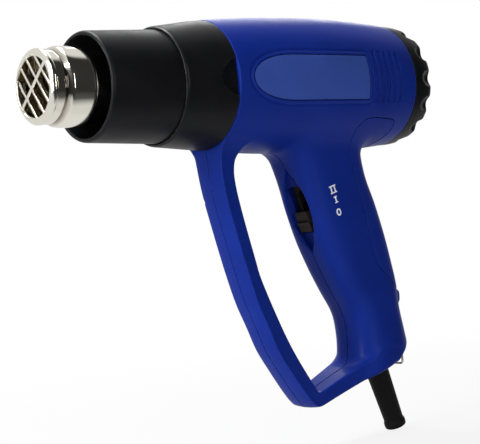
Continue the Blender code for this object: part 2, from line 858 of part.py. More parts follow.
def housing_half(name, side, forms):
    """One half of the housing, near (-1) or far (+1)."""
    outer, hollows, additions, cuts = forms
    shell = barrel_form(name, 0.0, X_HOUSING, X_CAP)
    shell.hide_render = False
    shell.display_type = "TEXTURED"
    join(shell, outer["grip"], outer["guard"])
    cut(shell, outer["base"], *hollows)
    join(shell, *additions)
    cut(shell, *cuts)
    cut(shell, side_grooves(name + "_grooves", side))
    if side < 0.0:
        cut(shell, panel_pocket())
    cut(shell, half_space(name + "_other_side", -side))
    return finish(shell, BLUE, 0.40)


def housing():
    """Both halves of the housing, with the guard moulded on."""
    outer = {
        "grip": grip_form("grip_outside", 0.0, 0.0),
        "guard": guard_form("guard_outside"),
        "base": base_cutter("base_outside", 0.0),
    }
    hollows = interior_forms()
    additions = duct_ribs() + screw_bosses() + grip_shelves()
    cuts = [pad_pocket(), switch_recess(), switch_slot(), switch_seat()]
    cuts += [screw_holes(), bail_slots(), boot_hole()]
    forms = (outer, hollows, additions, cuts)
    housing_half("housing_near", -1.0, forms)
    housing_half("housing_far", 1.0, forms)


def nozzle_tube():
    """The outlet tube with its turned-in lip, its groove and its rear flange."""
    groove = X_NOZZLE + NOZZLE_GROOVE_BACK
    land = NOZZLE_GROOVE_LAND
    dip = NOZZLE_GROOVE_DEPTH
    flange = NOZZLE_REAR_RADIUS + FLANGE_REACH
    inner_rear = NOZZLE_REAR_RADIUS - NOZZLE_WALL
    inner_front = NOZZLE_RADIUS - NOZZLE_WALL
    lip = NOZZLE_RADIUS - LIP_WIDTH
    profile = (
        (X_NOZZLE, lip + 0.3 * NOZZLE_WALL),
        (X_NOZZLE, NOZZLE_RADIUS - 0.8 * NOZZLE_WALL),
        (X_NOZZLE + 0.8 * NOZZLE_WALL, NOZZLE_RADIUS),
        (groove - NOZZLE_GROOVE_RAMP, NOZZLE_RADIUS),
        (groove - land, NOZZLE_RADIUS - dip),
        (groove + land, NOZZLE_RADIUS - dip),
        (groove + NOZZLE_FLARE, NOZZLE_REAR_RADIUS),
        (FUNNEL_FRONT - FLANGE_THICKNESS, NOZZLE_REAR_RADIUS),
        (FUNNEL_FRONT - FLANGE_THICKNESS, flange),
        (FUNNEL_FRONT, flange),
        (FUNNEL_FRONT, inner_rear),
        (groove + NOZZLE_FLARE, inner_rear),
        (groove + land, inner_front - dip),
        (groove - land, inner_front - dip),
        (groove - NOZZLE_GROOVE_RAMP, inner_front),
        (X_NOZZLE + NOZZLE_WALL, inner_front),
        (X_NOZZLE + NOZZLE_WALL, lip),
        (X_NOZZLE + 0.3 * NOZZLE_WALL, lip),
    )
    return finish(turned("nozzle_tube", profile, INNER_AROUND + 4), CHROME, 0.18, 1.0)


def nozzle_grille():
    """The grille in the mouth: a rim behind the lip, one rib across and slats behind it."""
    outer = NOZZLE_RADIUS - NOZZLE_WALL - GAP
    inner = NOZZLE_RADIUS - LIP_WIDTH
    front = X_NOZZLE + NOZZLE_WALL + GAP
    back = front + GRILLE_DEPTH
    middle = 0.5 * (outer + inner)
    rim = ring("nozzle_grille", front, back, outer, inner, INNER_AROUND)
    turn = Matrix.Rotation(math.radians(RIB_TILT), 4, "X")
    spot = place(front + 0.5 * GRILLE_DEPTH, 0.0, 0.0)
    rib = guide(block("grille_rib", (0.8 * GRILLE_DEPTH, RIB_WIDTH, 2.0 * middle), spot @ turn))
    join(rim, rib)
    slat_turn = Matrix.Rotation(math.radians(SLAT_TILT), 4, "X")
    for index in range(SLAT_COUNT):
        offset = (index - 0.5 * (SLAT_COUNT - 1)) * SLAT_PITCH
        half = math.sqrt(middle ** 2 - offset ** 2)
        slat = spot @ slat_turn @ place(0.1 * GRILLE_DEPTH, offset, 0.0)
        size = (0.7 * GRILLE_DEPTH, SLAT_WIDTH, 2.0 * half)
        join(rim, guide(block("grille_slat_%d" % index, size, slat)))
    return finish(rim, CHROME, 0.25, 1.0)


def heat_shield():
    """The black sleeve round the nozzle."""
    back = X_COLLAR + SLEEVE_SEAT
    bead = SLEEVE_BEAD
    inner_front = SLEEVE_FRONT_RADIUS - SLEEVE_WALL
    inner_back = SLEEVE_REAR_RADIUS - SLEEVE_WALL
    profile = (
        (X_SLEEVE, inner_front + 0.2 * bead),
        (X_SLEEVE, SLEEVE_FRONT_RADIUS - 0.7 * bead),
        (X_SLEEVE + bead, SLEEVE_FRONT_RADIUS),
        (X_COLLAR, SLEEVE_REAR_RADIUS),
        (back, SLEEVE_REAR_RADIUS),
        (back, inner_back),
        (X_COLLAR, inner_back),
        (X_SLEEVE + bead, inner_front),
    )
    return finish(turned("heat_shield", profile), BLACK, 0.45)


def vented_ring(name, front, outer, inner, count, wide):
    """A thin plate ring with vents between its two edges."""
    plate = ring(name, front, front + PLATE_THICKNESS, outer, inner, INNER_AROUND)
    bm = bmesh.new()
    deep = 0.5 * (outer - inner)
    for index in range(count):
        turn = Matrix.Rotation(2.0 * math.pi * (index + 0.5) / count, 4, "X")
        spot = turn @ place(front, 0.0, 0.5 * (inner + outer))
        size = (4.0 * PLATE_THICKNESS, wide, deep, 1.0)
        bmesh.ops.create_cube(bm, size=1.0, matrix=spot @ Matrix.Diagonal(size))
    cut(plate, guide(as_object(name + "_vents", bm)))
    return finish(plate, STEEL, 0.40, 1.0)


def shield_spacer():
    """The ring that holds the sleeve off the hot tube, with vent slots."""
    front = X_COLLAR + SPACER_BACK
    outer = SLEEVE_REAR_RADIUS - SLEEVE_WALL - GAP
    return vented_ring("shield_spacer", front, outer, NOZZLE_REAR_RADIUS + GAP, 8, SPACER_VENT)


def barrel_collar():
    """The flared black collar between the sleeve and the housing."""
    bore = SLEEVE_REAR_RADIUS + GAP
    step = X_COLLAR + SLEEVE_SEAT + GAP
    spigot = COLLAR_REAR_RADIUS - COLLAR_WALL - GAP
    inner = spigot - SPIGOT_WALL
    profile = (
        (X_COLLAR, bore),
        (X_COLLAR, bore + 2.0 * GAP),
        (X_COLLAR + COLLAR_SHOULDER, COLLAR_FRONT_RADIUS),
        (X_HOUSING - GAP, COLLAR_REAR_RADIUS - 0.5 * GAP),
        (X_HOUSING - GAP, spigot),
        (X_HOUSING + SPIGOT_LENGTH, spigot),
        (X_HOUSING + SPIGOT_LENGTH, inner),
        (step, inner),
        (step, bore),
    )
    collar = turned("barrel_collar", profile)
    for name, side in (("thumb_recess_near", -1.0), ("thumb_recess_far", 1.0)):
        bm = bmesh.new()
        spot = place(X_HOUSING + 3.0 * GAP, side * (COLLAR_REAR_RADIUS + LEAF_OUT), 0.0)
        size = Matrix.Diagonal((*LEAF_SIZE, 1.0))
        bmesh.ops.create_uvsphere(bm, u_segments=12, v_segments=8, radius=1.0, matrix=spot @ size)
        recess = guide(as_object(name, bm))
        cut(collar, recess)
    return finish(collar, BLACK, 0.42)


def collar_holder():
    """The pressed plate in the collar that carries the tube's flange."""
    front = FUNNEL_FRONT - FLANGE_THICKNESS - GAP - PLATE_THICKNESS
    outer = COLLAR_REAR_RADIUS - COLLAR_WALL - GAP - SPIGOT_WALL - GAP
    return vented_ring("tube_holder", front, outer, NOZZLE_REAR_RADIUS + GAP, 6, HOLDER_VENT)


def heater():
    """The mica liner, the ceramic core, its coil, the end plate and the cut-out."""
    liner_radius = NOZZLE_REAR_RADIUS - NOZZLE_WALL - GAP
    inner = liner_radius - LINER_WALL
    liner = ring("mica_liner", LINER_FRONT, FUNNEL_FRONT - GAP, liner_radius, inner, INNER_AROUND)
    finish(liner, MICA, 0.60)
    middle = CORE_FRONT + 0.5 * CORE_LENGTH
    core = block("heater_core", (CORE_LENGTH, CORE_ARM, 2.0 * CORE_RADIUS), place(middle, 0.0, 0.0))
    arm = block("core_arm", (CORE_LENGTH, 2.0 * CORE_RADIUS, CORE_ARM), place(middle, 0.0, 0.0))
    join(core, guide(arm))
    finish(core, CERAMIC, 0.80)
    heater_coil()
    plate_front = CORE_FRONT + CORE_LENGTH + GAP
    plate_back = plate_front + ENDPLATE_THICKNESS
    plate = disc("heater_end_plate", plate_front, plate_back, inner - GAP, INNER_AROUND)
    bm = bmesh.new()
    for index in range(6):
        turn = Matrix.Rotation(2.0 * math.pi * (index + 0.5) / 6, 4, "X")
        hole = turn @ along_x(plate_front, 0.0, PLATE_HOLE_OUT)
        add_cylinder(bm, PLATE_HOLE, CORE_RADIUS, hole, 10)
    cut(plate, guide(as_object("end_plate_holes", bm)))
    finish(plate, CERAMIC, 0.80)
    spot = place(plate_back + GAP + 0.5 * CUTOUT_SIZE.x, 0.0, 0.0)
    cutout = block("thermal_cutout", CUTOUT_SIZE, spot)
    finish(cutout, IVORY, 0.50)


def heater_coil():
    """The resistance wire, wound round the core's arms."""
    curve = bpy.data.curves.new("heater_coil", "CURVE")
    curve.dimensions = "3D"
    curve.bevel_depth = COIL_WIRE
    curve.bevel_resolution = 0
    curve.use_fill_caps = True
    corner = math.hypot(CORE_RADIUS, 0.5 * CORE_ARM)
    radius = (corner + GAP + COIL_WIRE) / math.cos(math.pi / COIL_STEPS)
    count = COIL_TURNS * COIL_STEPS + 1
    spline = curve.splines.new("POLY")
    spline.points.add(count - 1)
    start = CORE_FRONT + COIL_MARGIN
    run = CORE_LENGTH - 2.0 * COIL_MARGIN
    for index in range(count):
        angle = 2.0 * math.pi * index / COIL_STEPS
        x = start + run * index / (count - 1)
        spline.points[index].co = (x, radius * math.sin(angle), radius * math.cos(angle), 1.0)
    coil = bpy.data.objects.new("heater_coil", curve)
    bpy.context.scene.collection.objects.link(coil)
    return finish(coil, STEEL, 0.40, 1.0)


def air_funnel():
    """The cone that leads the air from the fan duct into the tube."""
    front = FUNNEL_FRONT + GAP
    back = DUCT_FRONT - GAP
    throat = NOZZLE_REAR_RADIUS - NOZZLE_WALL
    profile = (
        (front, throat),
        (front, throat + FLANGE_REACH),
        (front + FLANGE_THICKNESS, throat + FLANGE_REACH),
        (front + 2.0 * FLANGE_THICKNESS, throat + DUCT_WALL),
        (front + 4.0 * FLANGE_THICKNESS, throat + DUCT_WALL),
        (back - FUNNEL_LAND, DUCT_RADIUS),
        (back, DUCT_RADIUS),
        (back, DUCT_RADIUS - DUCT_WALL),
        (back - FUNNEL_LAND, DUCT_RADIUS - DUCT_WALL),
        (front + 4.0 * FLANGE_THICKNESS, throat),
    )
    return finish(turned("air_funnel", profile, INNER_AROUND), IVORY, 0.55)


def fan_duct():
    """The duct round the fan, with the motor's cup on its stator vanes."""
    inner = DUCT_RADIUS - DUCT_WALL
    duct = ring("fan_duct", DUCT_FRONT, DUCT_BACK, DUCT_RADIUS, inner, 4 * VANE_COUNT)
    cup_inner = MOTOR_RADIUS + GAP
    cup_front = MOTOR_FRONT + END_CAP_LENGTH
    cup_back = cup_front + CUP_LENGTH
    cup = guide(ring("motor_cup", cup_front, cup_back, cup_inner + CUP_WALL, cup_inner, INNER_AROUND))
    join(duct, cup)
    reach = inner + 0.5 * DUCT_WALL
    start = cup_inner + 0.5 * CUP_WALL
    for index in range(VANE_COUNT):
        turn = Matrix.Rotation(2.0 * math.pi * index / VANE_COUNT, 4, "X")
        spot = turn @ place(cup_front + 0.5 * CUP_LENGTH, 0.0, 0.5 * (reach + start))
        size = (CUP_LENGTH - END_CAP_LENGTH, VANE_THICKNESS, reach - start)
        join(duct, guide(block("vane_%d" % index, size, spot)))
    return finish(duct, IVORY, 0.55)


def motor():
    """The motor: can, end cap, magnets, bushes and what turns in them."""
    front = MOTOR_FRONT + END_CAP_LENGTH
    back = MOTOR_FRONT + MOTOR_LENGTH
    seat = BUSH_RADIUS + GAP
    inner = MOTOR_RADIUS - MOTOR_WALL
    can_profile = (
        (front, MOTOR_RADIUS),
        (back, MOTOR_RADIUS),
        (back, seat),
        (back - MOTOR_WALL, seat),
        (back - MOTOR_WALL, inner),
        (front, inner),
    )
    finish(turned("motor_can", can_profile, INNER_AROUND), STEEL, 0.35, 1.0)
    lid = ring("motor_end_cap", MOTOR_FRONT, front - GAP, MOTOR_RADIUS, seat, INNER_AROUND)
    finish(lid, BLACK, 0.50)
    first = front + MAGNET_INSET
    last = back - MOTOR_WALL - MAGNET_INSET
    outer = inner - GAP
    for name, side in (("magnet_near", -1.0), ("magnet_far", 1.0)):
        magnet = ring(name, first, last, outer, outer - MAGNET_THICKNESS, INNER_AROUND)
        size = (2.0 * MOTOR_LENGTH, 2.0 * MOTOR_RADIUS, 2.0 * MOTOR_RADIUS)
        other = place(0.5 * (first + last), side * (MAGNET_SPLIT - MOTOR_RADIUS), 0.0)
        cut(magnet, guide(block(name + "_cut", size, other)))
        finish(magnet, BLACK, 0.60)
    bore = SHAFT_RADIUS + SHAFT_CLEARANCE
    for name, x in (("bush_front", MOTOR_FRONT + BUSH_OUT), ("bush_back", back - BUSH_LENGTH + BUSH_OUT)):
        finish(ring(name, x, x + BUSH_LENGTH, BUSH_RADIUS, bore, 16), BRASS, 0.35, 1.0)
    rotor(0.5 * (first + last))


def rotor(middle):
    """What turns with the fan: armature and shaft."""
    front = middle - 0.5 * ARMATURE_LENGTH
    back = front + ARMATURE_LENGTH
    armature = ring("armature", front, back, ARMATURE_RADIUS, SHAFT_RADIUS + GAP, 20)
    bm = bmesh.new()
    for index in range(5):
        turn = Matrix.Rotation(2.0 * math.pi * index / 5, 4, "X")
        spot = turn @ place(middle, 0.0, ARMATURE_RADIUS) @ Matrix.Diagonal((*ARMATURE_SLOT, 1.0))
        bmesh.ops.create_cube(bm, size=1.0, matrix=spot)
    cut(armature, guide(as_object("armature_slots", bm)))
    finish(armature, COPPER, 0.45, 1.0)
    shaft_back = FAN_FRONT + FAN_LENGTH - FAN_NOSE - GAP
    shaft = disc("motor_shaft", MOTOR_FRONT - SHAFT_OUT, shaft_back, SHAFT_RADIUS, 12)
    finish(shaft, STEEL, 0.25, 1.0)


def fan_impeller():
    """The axial fan: a domed hub with twisted blades."""
    back = FAN_FRONT + FAN_LENGTH
    bore = SHAFT_RADIUS + GAP
    hub_profile = (
        (FAN_FRONT, bore),
        (FAN_FRONT, FAN_HUB_RADIUS),
        (back - 2.0 * FAN_NOSE, FAN_HUB_RADIUS),
        (back - 0.8 * FAN_NOSE, FAN_HUB_RADIUS - 0.6 * FAN_NOSE),
        (back, FAN_HUB_RADIUS - 1.6 * FAN_NOSE),
        (back, 0.0),
        (back - FAN_NOSE, 0.0),
        (back - FAN_NOSE, bore),
    )
    hub = turned("fan_impeller", hub_profile, 3 * BLADE_COUNT)
    tip = DUCT_RADIUS - DUCT_WALL - FAN_CLEARANCE
    for index in range(BLADE_COUNT):
        join(hub, blade("blade_%d" % index, 2.0 * math.pi * index / BLADE_COUNT, tip))
    return finish(hub, IVORY, 0.50)


def blade(name, angle, tip):
    """One twisted blade, skinned from the hub to the tip."""
    rings = []
    steps = 4
    length = FAN_LENGTH - 2.0 * BLADE_INSET
    middle = FAN_FRONT + 0.5 * length + BLADE_ROOT
    start = FAN_HUB_RADIUS - BLADE_ROOT
    for step in range(steps + 1):
        radius = start + (tip - start) * step / steps
        pitch = BLADE_TWIST * (0.75 + 0.45 * step / steps)
        chord = Vector((0.5 * length * math.cos(pitch), 0.5 * length * math.sin(pitch), 0.0))
        thick = Vector((-math.sin(pitch), math.cos(pitch), 0.0)) * 0.5 * BLADE_THICKNESS
        corners = (chord + thick, chord - thick, -chord - thick, -chord + thick)
        turn = Matrix.Rotation(angle, 4, "X")
        rings.append([turn @ (Vector((middle, 0.0, radius)) + corner) for corner in corners])
    return guide(loft(name, rings))


def rear_cap():
    """The black cap: scooped rim, spigot, and a slotted face with a flat hub."""
    spigot = HOUSING_REAR_RADIUS - COLLAR_WALL - GAP
    bore = spigot - SPIGOT_WALL
    face = -CAP_FACE_SINK
    inside = face - CAP_FACE_THICKNESS
    edge = HOUSING_REAR_RADIUS - 0.5 * GAP
    profile = (
        (X_CAP + GAP, spigot),
        (X_CAP + GAP, edge),
        (0.65 * X_CAP, edge),
        (0.35 * X_CAP, edge - CAP_EDGE_TAPER),
        (0.10 * X_CAP, CAP_RIM_RADIUS + 2.0 * CAP_EDGE_TAPER),
        (0.0, CAP_RIM_RADIUS),
        (0.0, CAP_FACE_INNER),
        (face, CAP_FACE_INNER - CAP_EDGE_TAPER),
        (face, CAP_HUB_RADIUS + CAP_EDGE_TAPER),
        (0.0, CAP_HUB_RADIUS),
        (0.0, 0.0),
        (inside, 0.0),
        (inside, bore),
        (X_CAP - SPIGOT_LENGTH, bore),
        (X_CAP - SPIGOT_LENGTH, spigot),
    )
    cap = turned("rear_cap", profile, 2 * SCOOP_COUNT)
    bm = bmesh.new()
    for index in range(SCOOP_COUNT):
        turn = Matrix.Rotation(2.0 * math.pi * (index + 0.5) / SCOOP_COUNT, 4, "X")
        spot = turn @ place(-CAP_EDGE_TAPER, 0.0, SCOOP_OUT) @ Matrix.Diagonal((1.25, 0.80, 1.0, 1.0))
        bmesh.ops.create_uvsphere(bm, u_segments=8, v_segments=5, radius=SCOOP_RADIUS, matrix=spot)
    cut(cap, guide(as_object("rim_scoops", bm)))
    cut(cap, cap_slots())
    return finish(cap, BLACK, 0.45)


def cap_slots():
    """The air slots that fan out between the cap's hub and its rim."""
    bm = bmesh.new()
    low = CAP_HUB_RADIUS + SLOT_MARGIN
    high = CAP_FACE_INNER - SLOT_MARGIN
    for index in range(CAP_SLOT_COUNT):
        turn = Matrix.Rotation(2.0 * math.pi * index / CAP_SLOT_COUNT, 4, "X")
        spot = turn @ place(-CAP_FACE_SINK, 0.0, 0.5 * (low + high))
        size = Matrix.Diagonal((4.0 * CAP_FACE_THICKNESS, CAP_SLOT_WIDTH, high - low, 1.0))
        bmesh.ops.create_cube(bm, size=1.0, matrix=spot @ size)
    return guide(as_object("cap_slots", bm))


def intake_screen():
    """The perforated disc behind the cap's slots."""
    back = -CAP_FACE_SINK - CAP_FACE_THICKNESS - GAP
    radius = HOUSING_REAR_RADIUS - COLLAR_WALL - 2.0 * GAP - SPIGOT_WALL
    screen = disc("intake_screen", back - SCREEN_THICKNESS, back, radius, 2 * SCOOP_COUNT)
    bm = bmesh.new()
    rows = int(radius / SCREEN_HOLE_PITCH)
    for row in range(-rows, rows + 1):
        for column in range(-rows, rows + 1):
            y = row * SCREEN_HOLE_PITCH
            z = column * SCREEN_HOLE_PITCH
            if math.hypot(y, z) > radius - SCREEN_HOLE:
                continue
            size = (8.0 * SCREEN_THICKNESS, SCREEN_HOLE, SCREEN_HOLE, 1.0)
            bmesh.ops.create_cube(bm, size=1.0, matrix=place(back, y, z) @ Matrix.Diagonal(size))
    cut(screen, guide(as_object("screen_holes", bm)))
    return finish(screen, STEEL, 0.40, 1.0)


def slider_rest():
    """How far along the slot the slider rests, at its lowest mark."""
    return 0.5 * (SLIDER_LENGTH - SLOT_LENGTH) + 3.0 * GAP


def switch_slider():
    """The thumb slide: a head with a raised rib, and the stem that reaches the switch."""
    rest = slider_rest()
    width = SLOT_WIDTH - 4.0 * GAP
    deep = SLIDER_SINK - 0.5 * SLIDER_HEIGHT
    top = SLIDER_SINK - SLIDER_HEIGHT
    slider = block("switch_slider", (SLIDER_HEIGHT, width, SLIDER_LENGTH), switch_matrix(rest, deep))
    rib_size = (2.0 * SLIDER_RIB, width, 1.5 * SLIDER_RIB)
    rib = block("slider_rib", rib_size, switch_matrix(rest, top))
    stem_size = (STEM_REACH, STEM_WIDTH, STEM_LENGTH)
    stem = block("slider_stem", stem_size, switch_matrix(rest, 0.5 * STEM_REACH))
    join(slider, guide(rib), guide(stem))
    return finish(slider, BLACK, 0.50)


def switch_body():
    """The switch behind the slot, with a well for the slider's stem."""
    deep = SWITCH_FLOOR + GAP + 0.5 * SWITCH_BODY_SIZE.y
    size = (SWITCH_BODY_SIZE.y, SWITCH_BODY_SIZE.x, SWITCH_BODY_SIZE.z)
    body = block("switch_body", size, switch_matrix(0.0, deep))
    well_length = STEM_LENGTH + SLIDER_TRAVEL + 4.0 * GAP
    well_deep = 2.0 * (STEM_REACH - SWITCH_FLOOR + 4.0 * GAP)
    well_size = (well_deep, STEM_WIDTH + 4.0 * GAP, well_length)
    middle = slider_rest() + 0.5 * SLIDER_TRAVEL
    cut(body, guide(block("stem_well", well_size, switch_matrix(middle, SWITCH_FLOOR))))
    return finish(body, BLACK, 0.55)


def strain_relief():
    """The rubber boot, with its collar inside the base and its bore."""
    bore = BOOT_BORE_RADIUS
    inside = -(BASE_FLOOR + GAP)
    profile = (
        (inside - BOOT_COLLAR_LENGTH, bore),
        (inside - BOOT_COLLAR_LENGTH, BOOT_COLLAR_RADIUS),
        (inside, BOOT_COLLAR_RADIUS),
        (inside, BOOT_TOP_RADIUS),
        (0.0, BOOT_TOP_RADIUS),
        (BOOT_LENGTH - 1.5 * BOOT_FLANGE, BOOT_END_RADIUS),
        (BOOT_LENGTH - BOOT_FLANGE, BOOT_FLANGE_RADIUS),
        (BOOT_LENGTH, BOOT_FLANGE_RADIUS - GAP),
        (BOOT_LENGTH, bore),
    )
    boot = turned("strain_relief", profile, INNER_AROUND)
    boot.data.transform(Matrix.Rotation(math.radians(-90.0), 4, "Y"))
    boot.data.transform(boot_matrix())
    return finish(boot, BLACK, 0.55)


def hanging_bail():
    """The wire bail that turns in the base, a closed loop."""
    curve = bpy.data.curves.new("hanging_bail", "CURVE")
    curve.dimensions = "3D"
    curve.bevel_depth = BAIL_WIRE
    curve.bevel_resolution = 1
    corner = BAIL_CORNER
    half = BAIL_HALF_WIDTH
    drop = BAIL_DROP
    points = []
    for y, z, start in ((half, 0.0, 0.0), (-half, 0.0, 90.0), (-half, -drop, 180.0), (half, -drop, 270.0)):
        centre_y = y - math.copysign(corner, y)
        centre_z = z - corner if z == 0.0 else z + corner
        for step in range(4):
            angle = math.radians(start + 30.0 * step)
            points.append((centre_y + corner * math.cos(angle), centre_z + corner * math.sin(angle)))
    spline = curve.splines.new("POLY")
    spline.points.add(len(points) - 1)
    spline.use_cyclic_u = True
    for index, (y, z) in enumerate(points):
        spline.points[index].co = (0.0, y, z, 1.0)
    bail = bpy.data.objects.new("hanging_bail", curve)
    bail.location = BAIL_PIVOT
    bpy.context.scene.collection.objects.link(bail)
    return finish(bail, STEEL, 0.25, 1.0)


def grip_electrics():
    """The rectifier board, its parts, the terminal block and the cord clamp."""
    board_matrix = place(BOARD_X, 0.0, BOARD_Z) @ Matrix.Rotation(-SWITCH_TILT, 4, "Y")
    finish(block("rectifier_board", BOARD_SIZE, board_matrix), BOARD_GREEN, 0.45)
    face = -0.5 * BOARD_SIZE.x - GAP
    high = board_matrix @ place(face - 0.5 * RECTIFIER_SIZE.x, 0.0, RECTIFIER_UP * BOARD_SIZE.z)
    low = board_matrix @ place(face - 0.5 * CAPACITOR_SIZE.x, 0.0, -CAPACITOR_DOWN * BOARD_SIZE.z)
    finish(block("rectifier", RECTIFIER_SIZE, high), BLACK, 0.50)
    finish(block("capacitor", CAPACITOR_SIZE, low), BLUE, 0.50)
    finish(block("terminal_block", TERMINAL_SIZE, place(TERMINAL_X, 0.0, TERMINAL_Z)), IVORY, 0.50)
    up = -(BASE_FLOOR + GAP + BOOT_COLLAR_LENGTH + GAP + 0.5 * CLAMP_SIZE.z)
    quarter = Matrix.Rotation(0.5 * math.pi, 4, "Z")
    clamp = block("cord_clamp", CLAMP_SIZE, boot_matrix(up) @ quarter)
    cut(clamp, guide(rod("clamp_bore", BOOT_BORE_RADIUS, 2.0 * CLAMP_SIZE.y, boot_matrix(up), 16)))
    finish(clamp, BLACK, 0.50)


def build():
    """Build every piece."""
    clear_scene()
    housing()
    grip_pad(outer_form("pad_outside", 0.0))
    side_panel()
    nozzle_tube()
    nozzle_grille()
    heat_shield()
    shield_spacer()
    barrel_collar()
    collar_holder()
    heater()
    air_funnel()
    fan_duct()
    motor()
    fan_impeller()
    rear_cap()
    intake_screen()
    switch_slider()
    switch_body()
    strain_relief()
    hanging_bail()
    grip_electrics()
    housing_screws()


build()
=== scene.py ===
"""Hot air tool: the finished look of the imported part, built round it in Blender.

The housing, the grip pad, the side panel, the collar and the rear cap are described as smooth
fields in millimetres and turned into meshes here. Round pieces are turned on a lathe, and the
rest is built from small bevelled solids. The part's frame is kept: the barrel lies along X with
the nozzle towards -X, the near side faces -Y and the origin is at the rear cap's flat end.
"""
import math

import bmesh
import bpy
import numpy as np
from mathutils import Matrix, Vector


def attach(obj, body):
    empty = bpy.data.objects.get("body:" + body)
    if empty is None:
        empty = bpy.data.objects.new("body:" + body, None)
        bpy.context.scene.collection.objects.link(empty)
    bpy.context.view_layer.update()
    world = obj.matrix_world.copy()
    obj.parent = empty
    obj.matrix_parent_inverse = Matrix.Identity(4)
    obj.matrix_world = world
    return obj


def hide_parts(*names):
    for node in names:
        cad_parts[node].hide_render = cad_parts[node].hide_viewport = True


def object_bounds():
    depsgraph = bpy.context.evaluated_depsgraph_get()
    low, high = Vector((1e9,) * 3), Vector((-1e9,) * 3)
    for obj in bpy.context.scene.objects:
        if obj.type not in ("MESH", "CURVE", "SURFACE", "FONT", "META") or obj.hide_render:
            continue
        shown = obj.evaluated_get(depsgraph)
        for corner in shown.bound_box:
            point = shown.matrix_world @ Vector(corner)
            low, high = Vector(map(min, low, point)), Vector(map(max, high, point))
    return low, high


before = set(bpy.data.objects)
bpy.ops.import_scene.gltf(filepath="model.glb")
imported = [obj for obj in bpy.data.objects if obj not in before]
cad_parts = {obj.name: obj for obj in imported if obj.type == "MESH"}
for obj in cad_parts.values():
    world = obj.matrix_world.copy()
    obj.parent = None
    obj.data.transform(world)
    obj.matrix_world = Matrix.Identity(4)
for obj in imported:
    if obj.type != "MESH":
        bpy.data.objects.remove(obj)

CAD_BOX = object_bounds()
MM = 0.001

# How finely the fields are meshed, in millimetres
CELL = 0.6
FINE = 0.45
AROUND = 128

# Barrel, in millimetres
X_CAP = -16.7
X_HOUSING = -157.3
X_COLLAR = -191.5
BARREL_RADIUS = 40.2
BARREL_FRONT_RADIUS = 36.4
BARREL_REAR_RADIUS = 37.6
BARREL_WIDEST = -75.0
COLLAR_FRONT_RADIUS = 33.2
SPIGOT_LENGTH = 7.0
TOP_LIFT = 1.2
TOP_LIFT_FROM = -190.0
TOP_LIFT_RUN = 25.0
TOP_LIFT_HEIGHT = 36.0
WALL = 2.6
WALL_GROWTH = 0.15
WALL_GROWTH_FROM = 8.0
WALL_GROWTH_MOST = 1.6
GRIP_WALL = 3.2
SEAM = 0.1
TONGUE_DEPTH = 1.0

# How softly the forms of the housing run into each other
GRIP_FILLET = 8.0
GUARD_FILLET = 6.0
LUG_FILLET = 1.2
BASE_ROUNDING = 3.4
END_ROUNDING = 0.7

# Grip: height, front, back and half width
GRIP_SECTIONS = (
    (12.0, -114.0, -28.0, 21.5),
    (0.0, -112.0, -33.0, 21.5),
    (-30.0, -108.6, -42.0, 21.5),
    (-41.0, -102.4, -45.2, 20.4),
    (-55.0, -97.2, -43.8, 19.3),
    (-75.0, -92.2, -36.9, 18.7),
    (-95.0, -85.9, -30.9, 18.2),
    (-112.0, -78.5, -26.9, 17.9),
    (-126.0, -71.4, -24.0, 17.8),
    (-140.0, -63.8, -23.2, 18.0),
    (-155.0, -61.7, -20.6, 18.8),
    (-172.0, -63.2, -17.9, 19.5),
    (-200.0, -65.2, -14.9, 19.5),
)
GRIP_POWER = ((20.0, 2.7), (-25.0, 2.9), (-50.0, 3.4), (-120.0, 3.4), (-142.0, 2.8), (-200.0, 2.7))

# Guard: its outer and inner lines in the XZ plane, closed inside the barrel and the grip
GUARD_OUTER = (
    (-156.0, -12.0), (-157.6, -30.0), (-157.6, -38.0), (-157.1, -52.0), (-155.0, -66.0),
    (-152.1, -79.0), (-148.7, -93.0), (-143.8, -112.0), (-139.2, -127.0), (-133.8, -140.0),
    (-127.7, -155.0), (-119.8, -168.0), (-112.2, -179.5), (-106.6, -187.0), (-103.2, -190.6),
    (-99.6, -192.6), (-95.0, -192.2), (-86.0, -189.6), (-70.0, -184.6), (-50.0, -178.4),
    (-34.0, -174.5), (-28.0, -169.0), (-36.0, -162.5), (-52.0, -161.0), (-66.0, -150.0),
    (-80.0, -110.0), (-100.0, -50.0), (-120.0, -8.0), (-145.0, -4.0),
)
GUARD_INNER = (
    (-140.8, -26.0), (-143.0, -38.0), (-146.2, -45.0), (-146.4, -56.0), (-142.8, -75.0),
    (-136.9, -101.0), (-133.7, -113.0), (-123.9, -137.0), (-114.9, -156.0), (-103.6, -175.4),
    (-100.6, -180.0), (-99.2, -182.6), (-96.6, -182.7), (-92.0, -181.0), (-80.0, -176.7),
    (-66.0, -172.2), (-52.0, -167.6), (-40.0, -150.0), (-60.0, -60.0), (-90.0, -14.0),
    (-130.0, -14.0),
)
GUARD_HALF_WIDTH = (
    (-200.0, 11.2), (-180.0, 11.3), (-145.0, 11.6), (-101.0, 11.9), (-62.0, 11.9), (-48.0, 12.4),
    (-40.0, 13.4), (-32.0, 15.0), (-25.0, 16.4), (-10.0, 17.0), (20.0, 17.0),
)
BAR_EXTRA_WIDTH = (
    (-200.0, 0.0), (-98.0, 0.0), (-90.0, 0.6), (-78.0, 2.0), (-64.0, 4.2), (-50.0, 5.2),
    (-38.0, 4.6), (-22.0, 0.0), (0.0, 0.0),
)
GUARD_CROWN = 1.1
GUARD_STEP = 0.45
GUARD_LIP = 1.3
GUARD_STEP_RUN = 0.6
GUARD_STEP_TOP = -25.0
GUARD_STEP_FADE = 12.0

# Base of the grip, turned up at the back
BASE_POINT = (-31.0, -171.5)
BASE_SLOPE = math.radians(18.0)
BASE_FLOOR = 6.5
BASE_TURN_FROM = -36.5
BASE_TURN_RISE = 0.36
BASE_TURN_RUN = 25.0

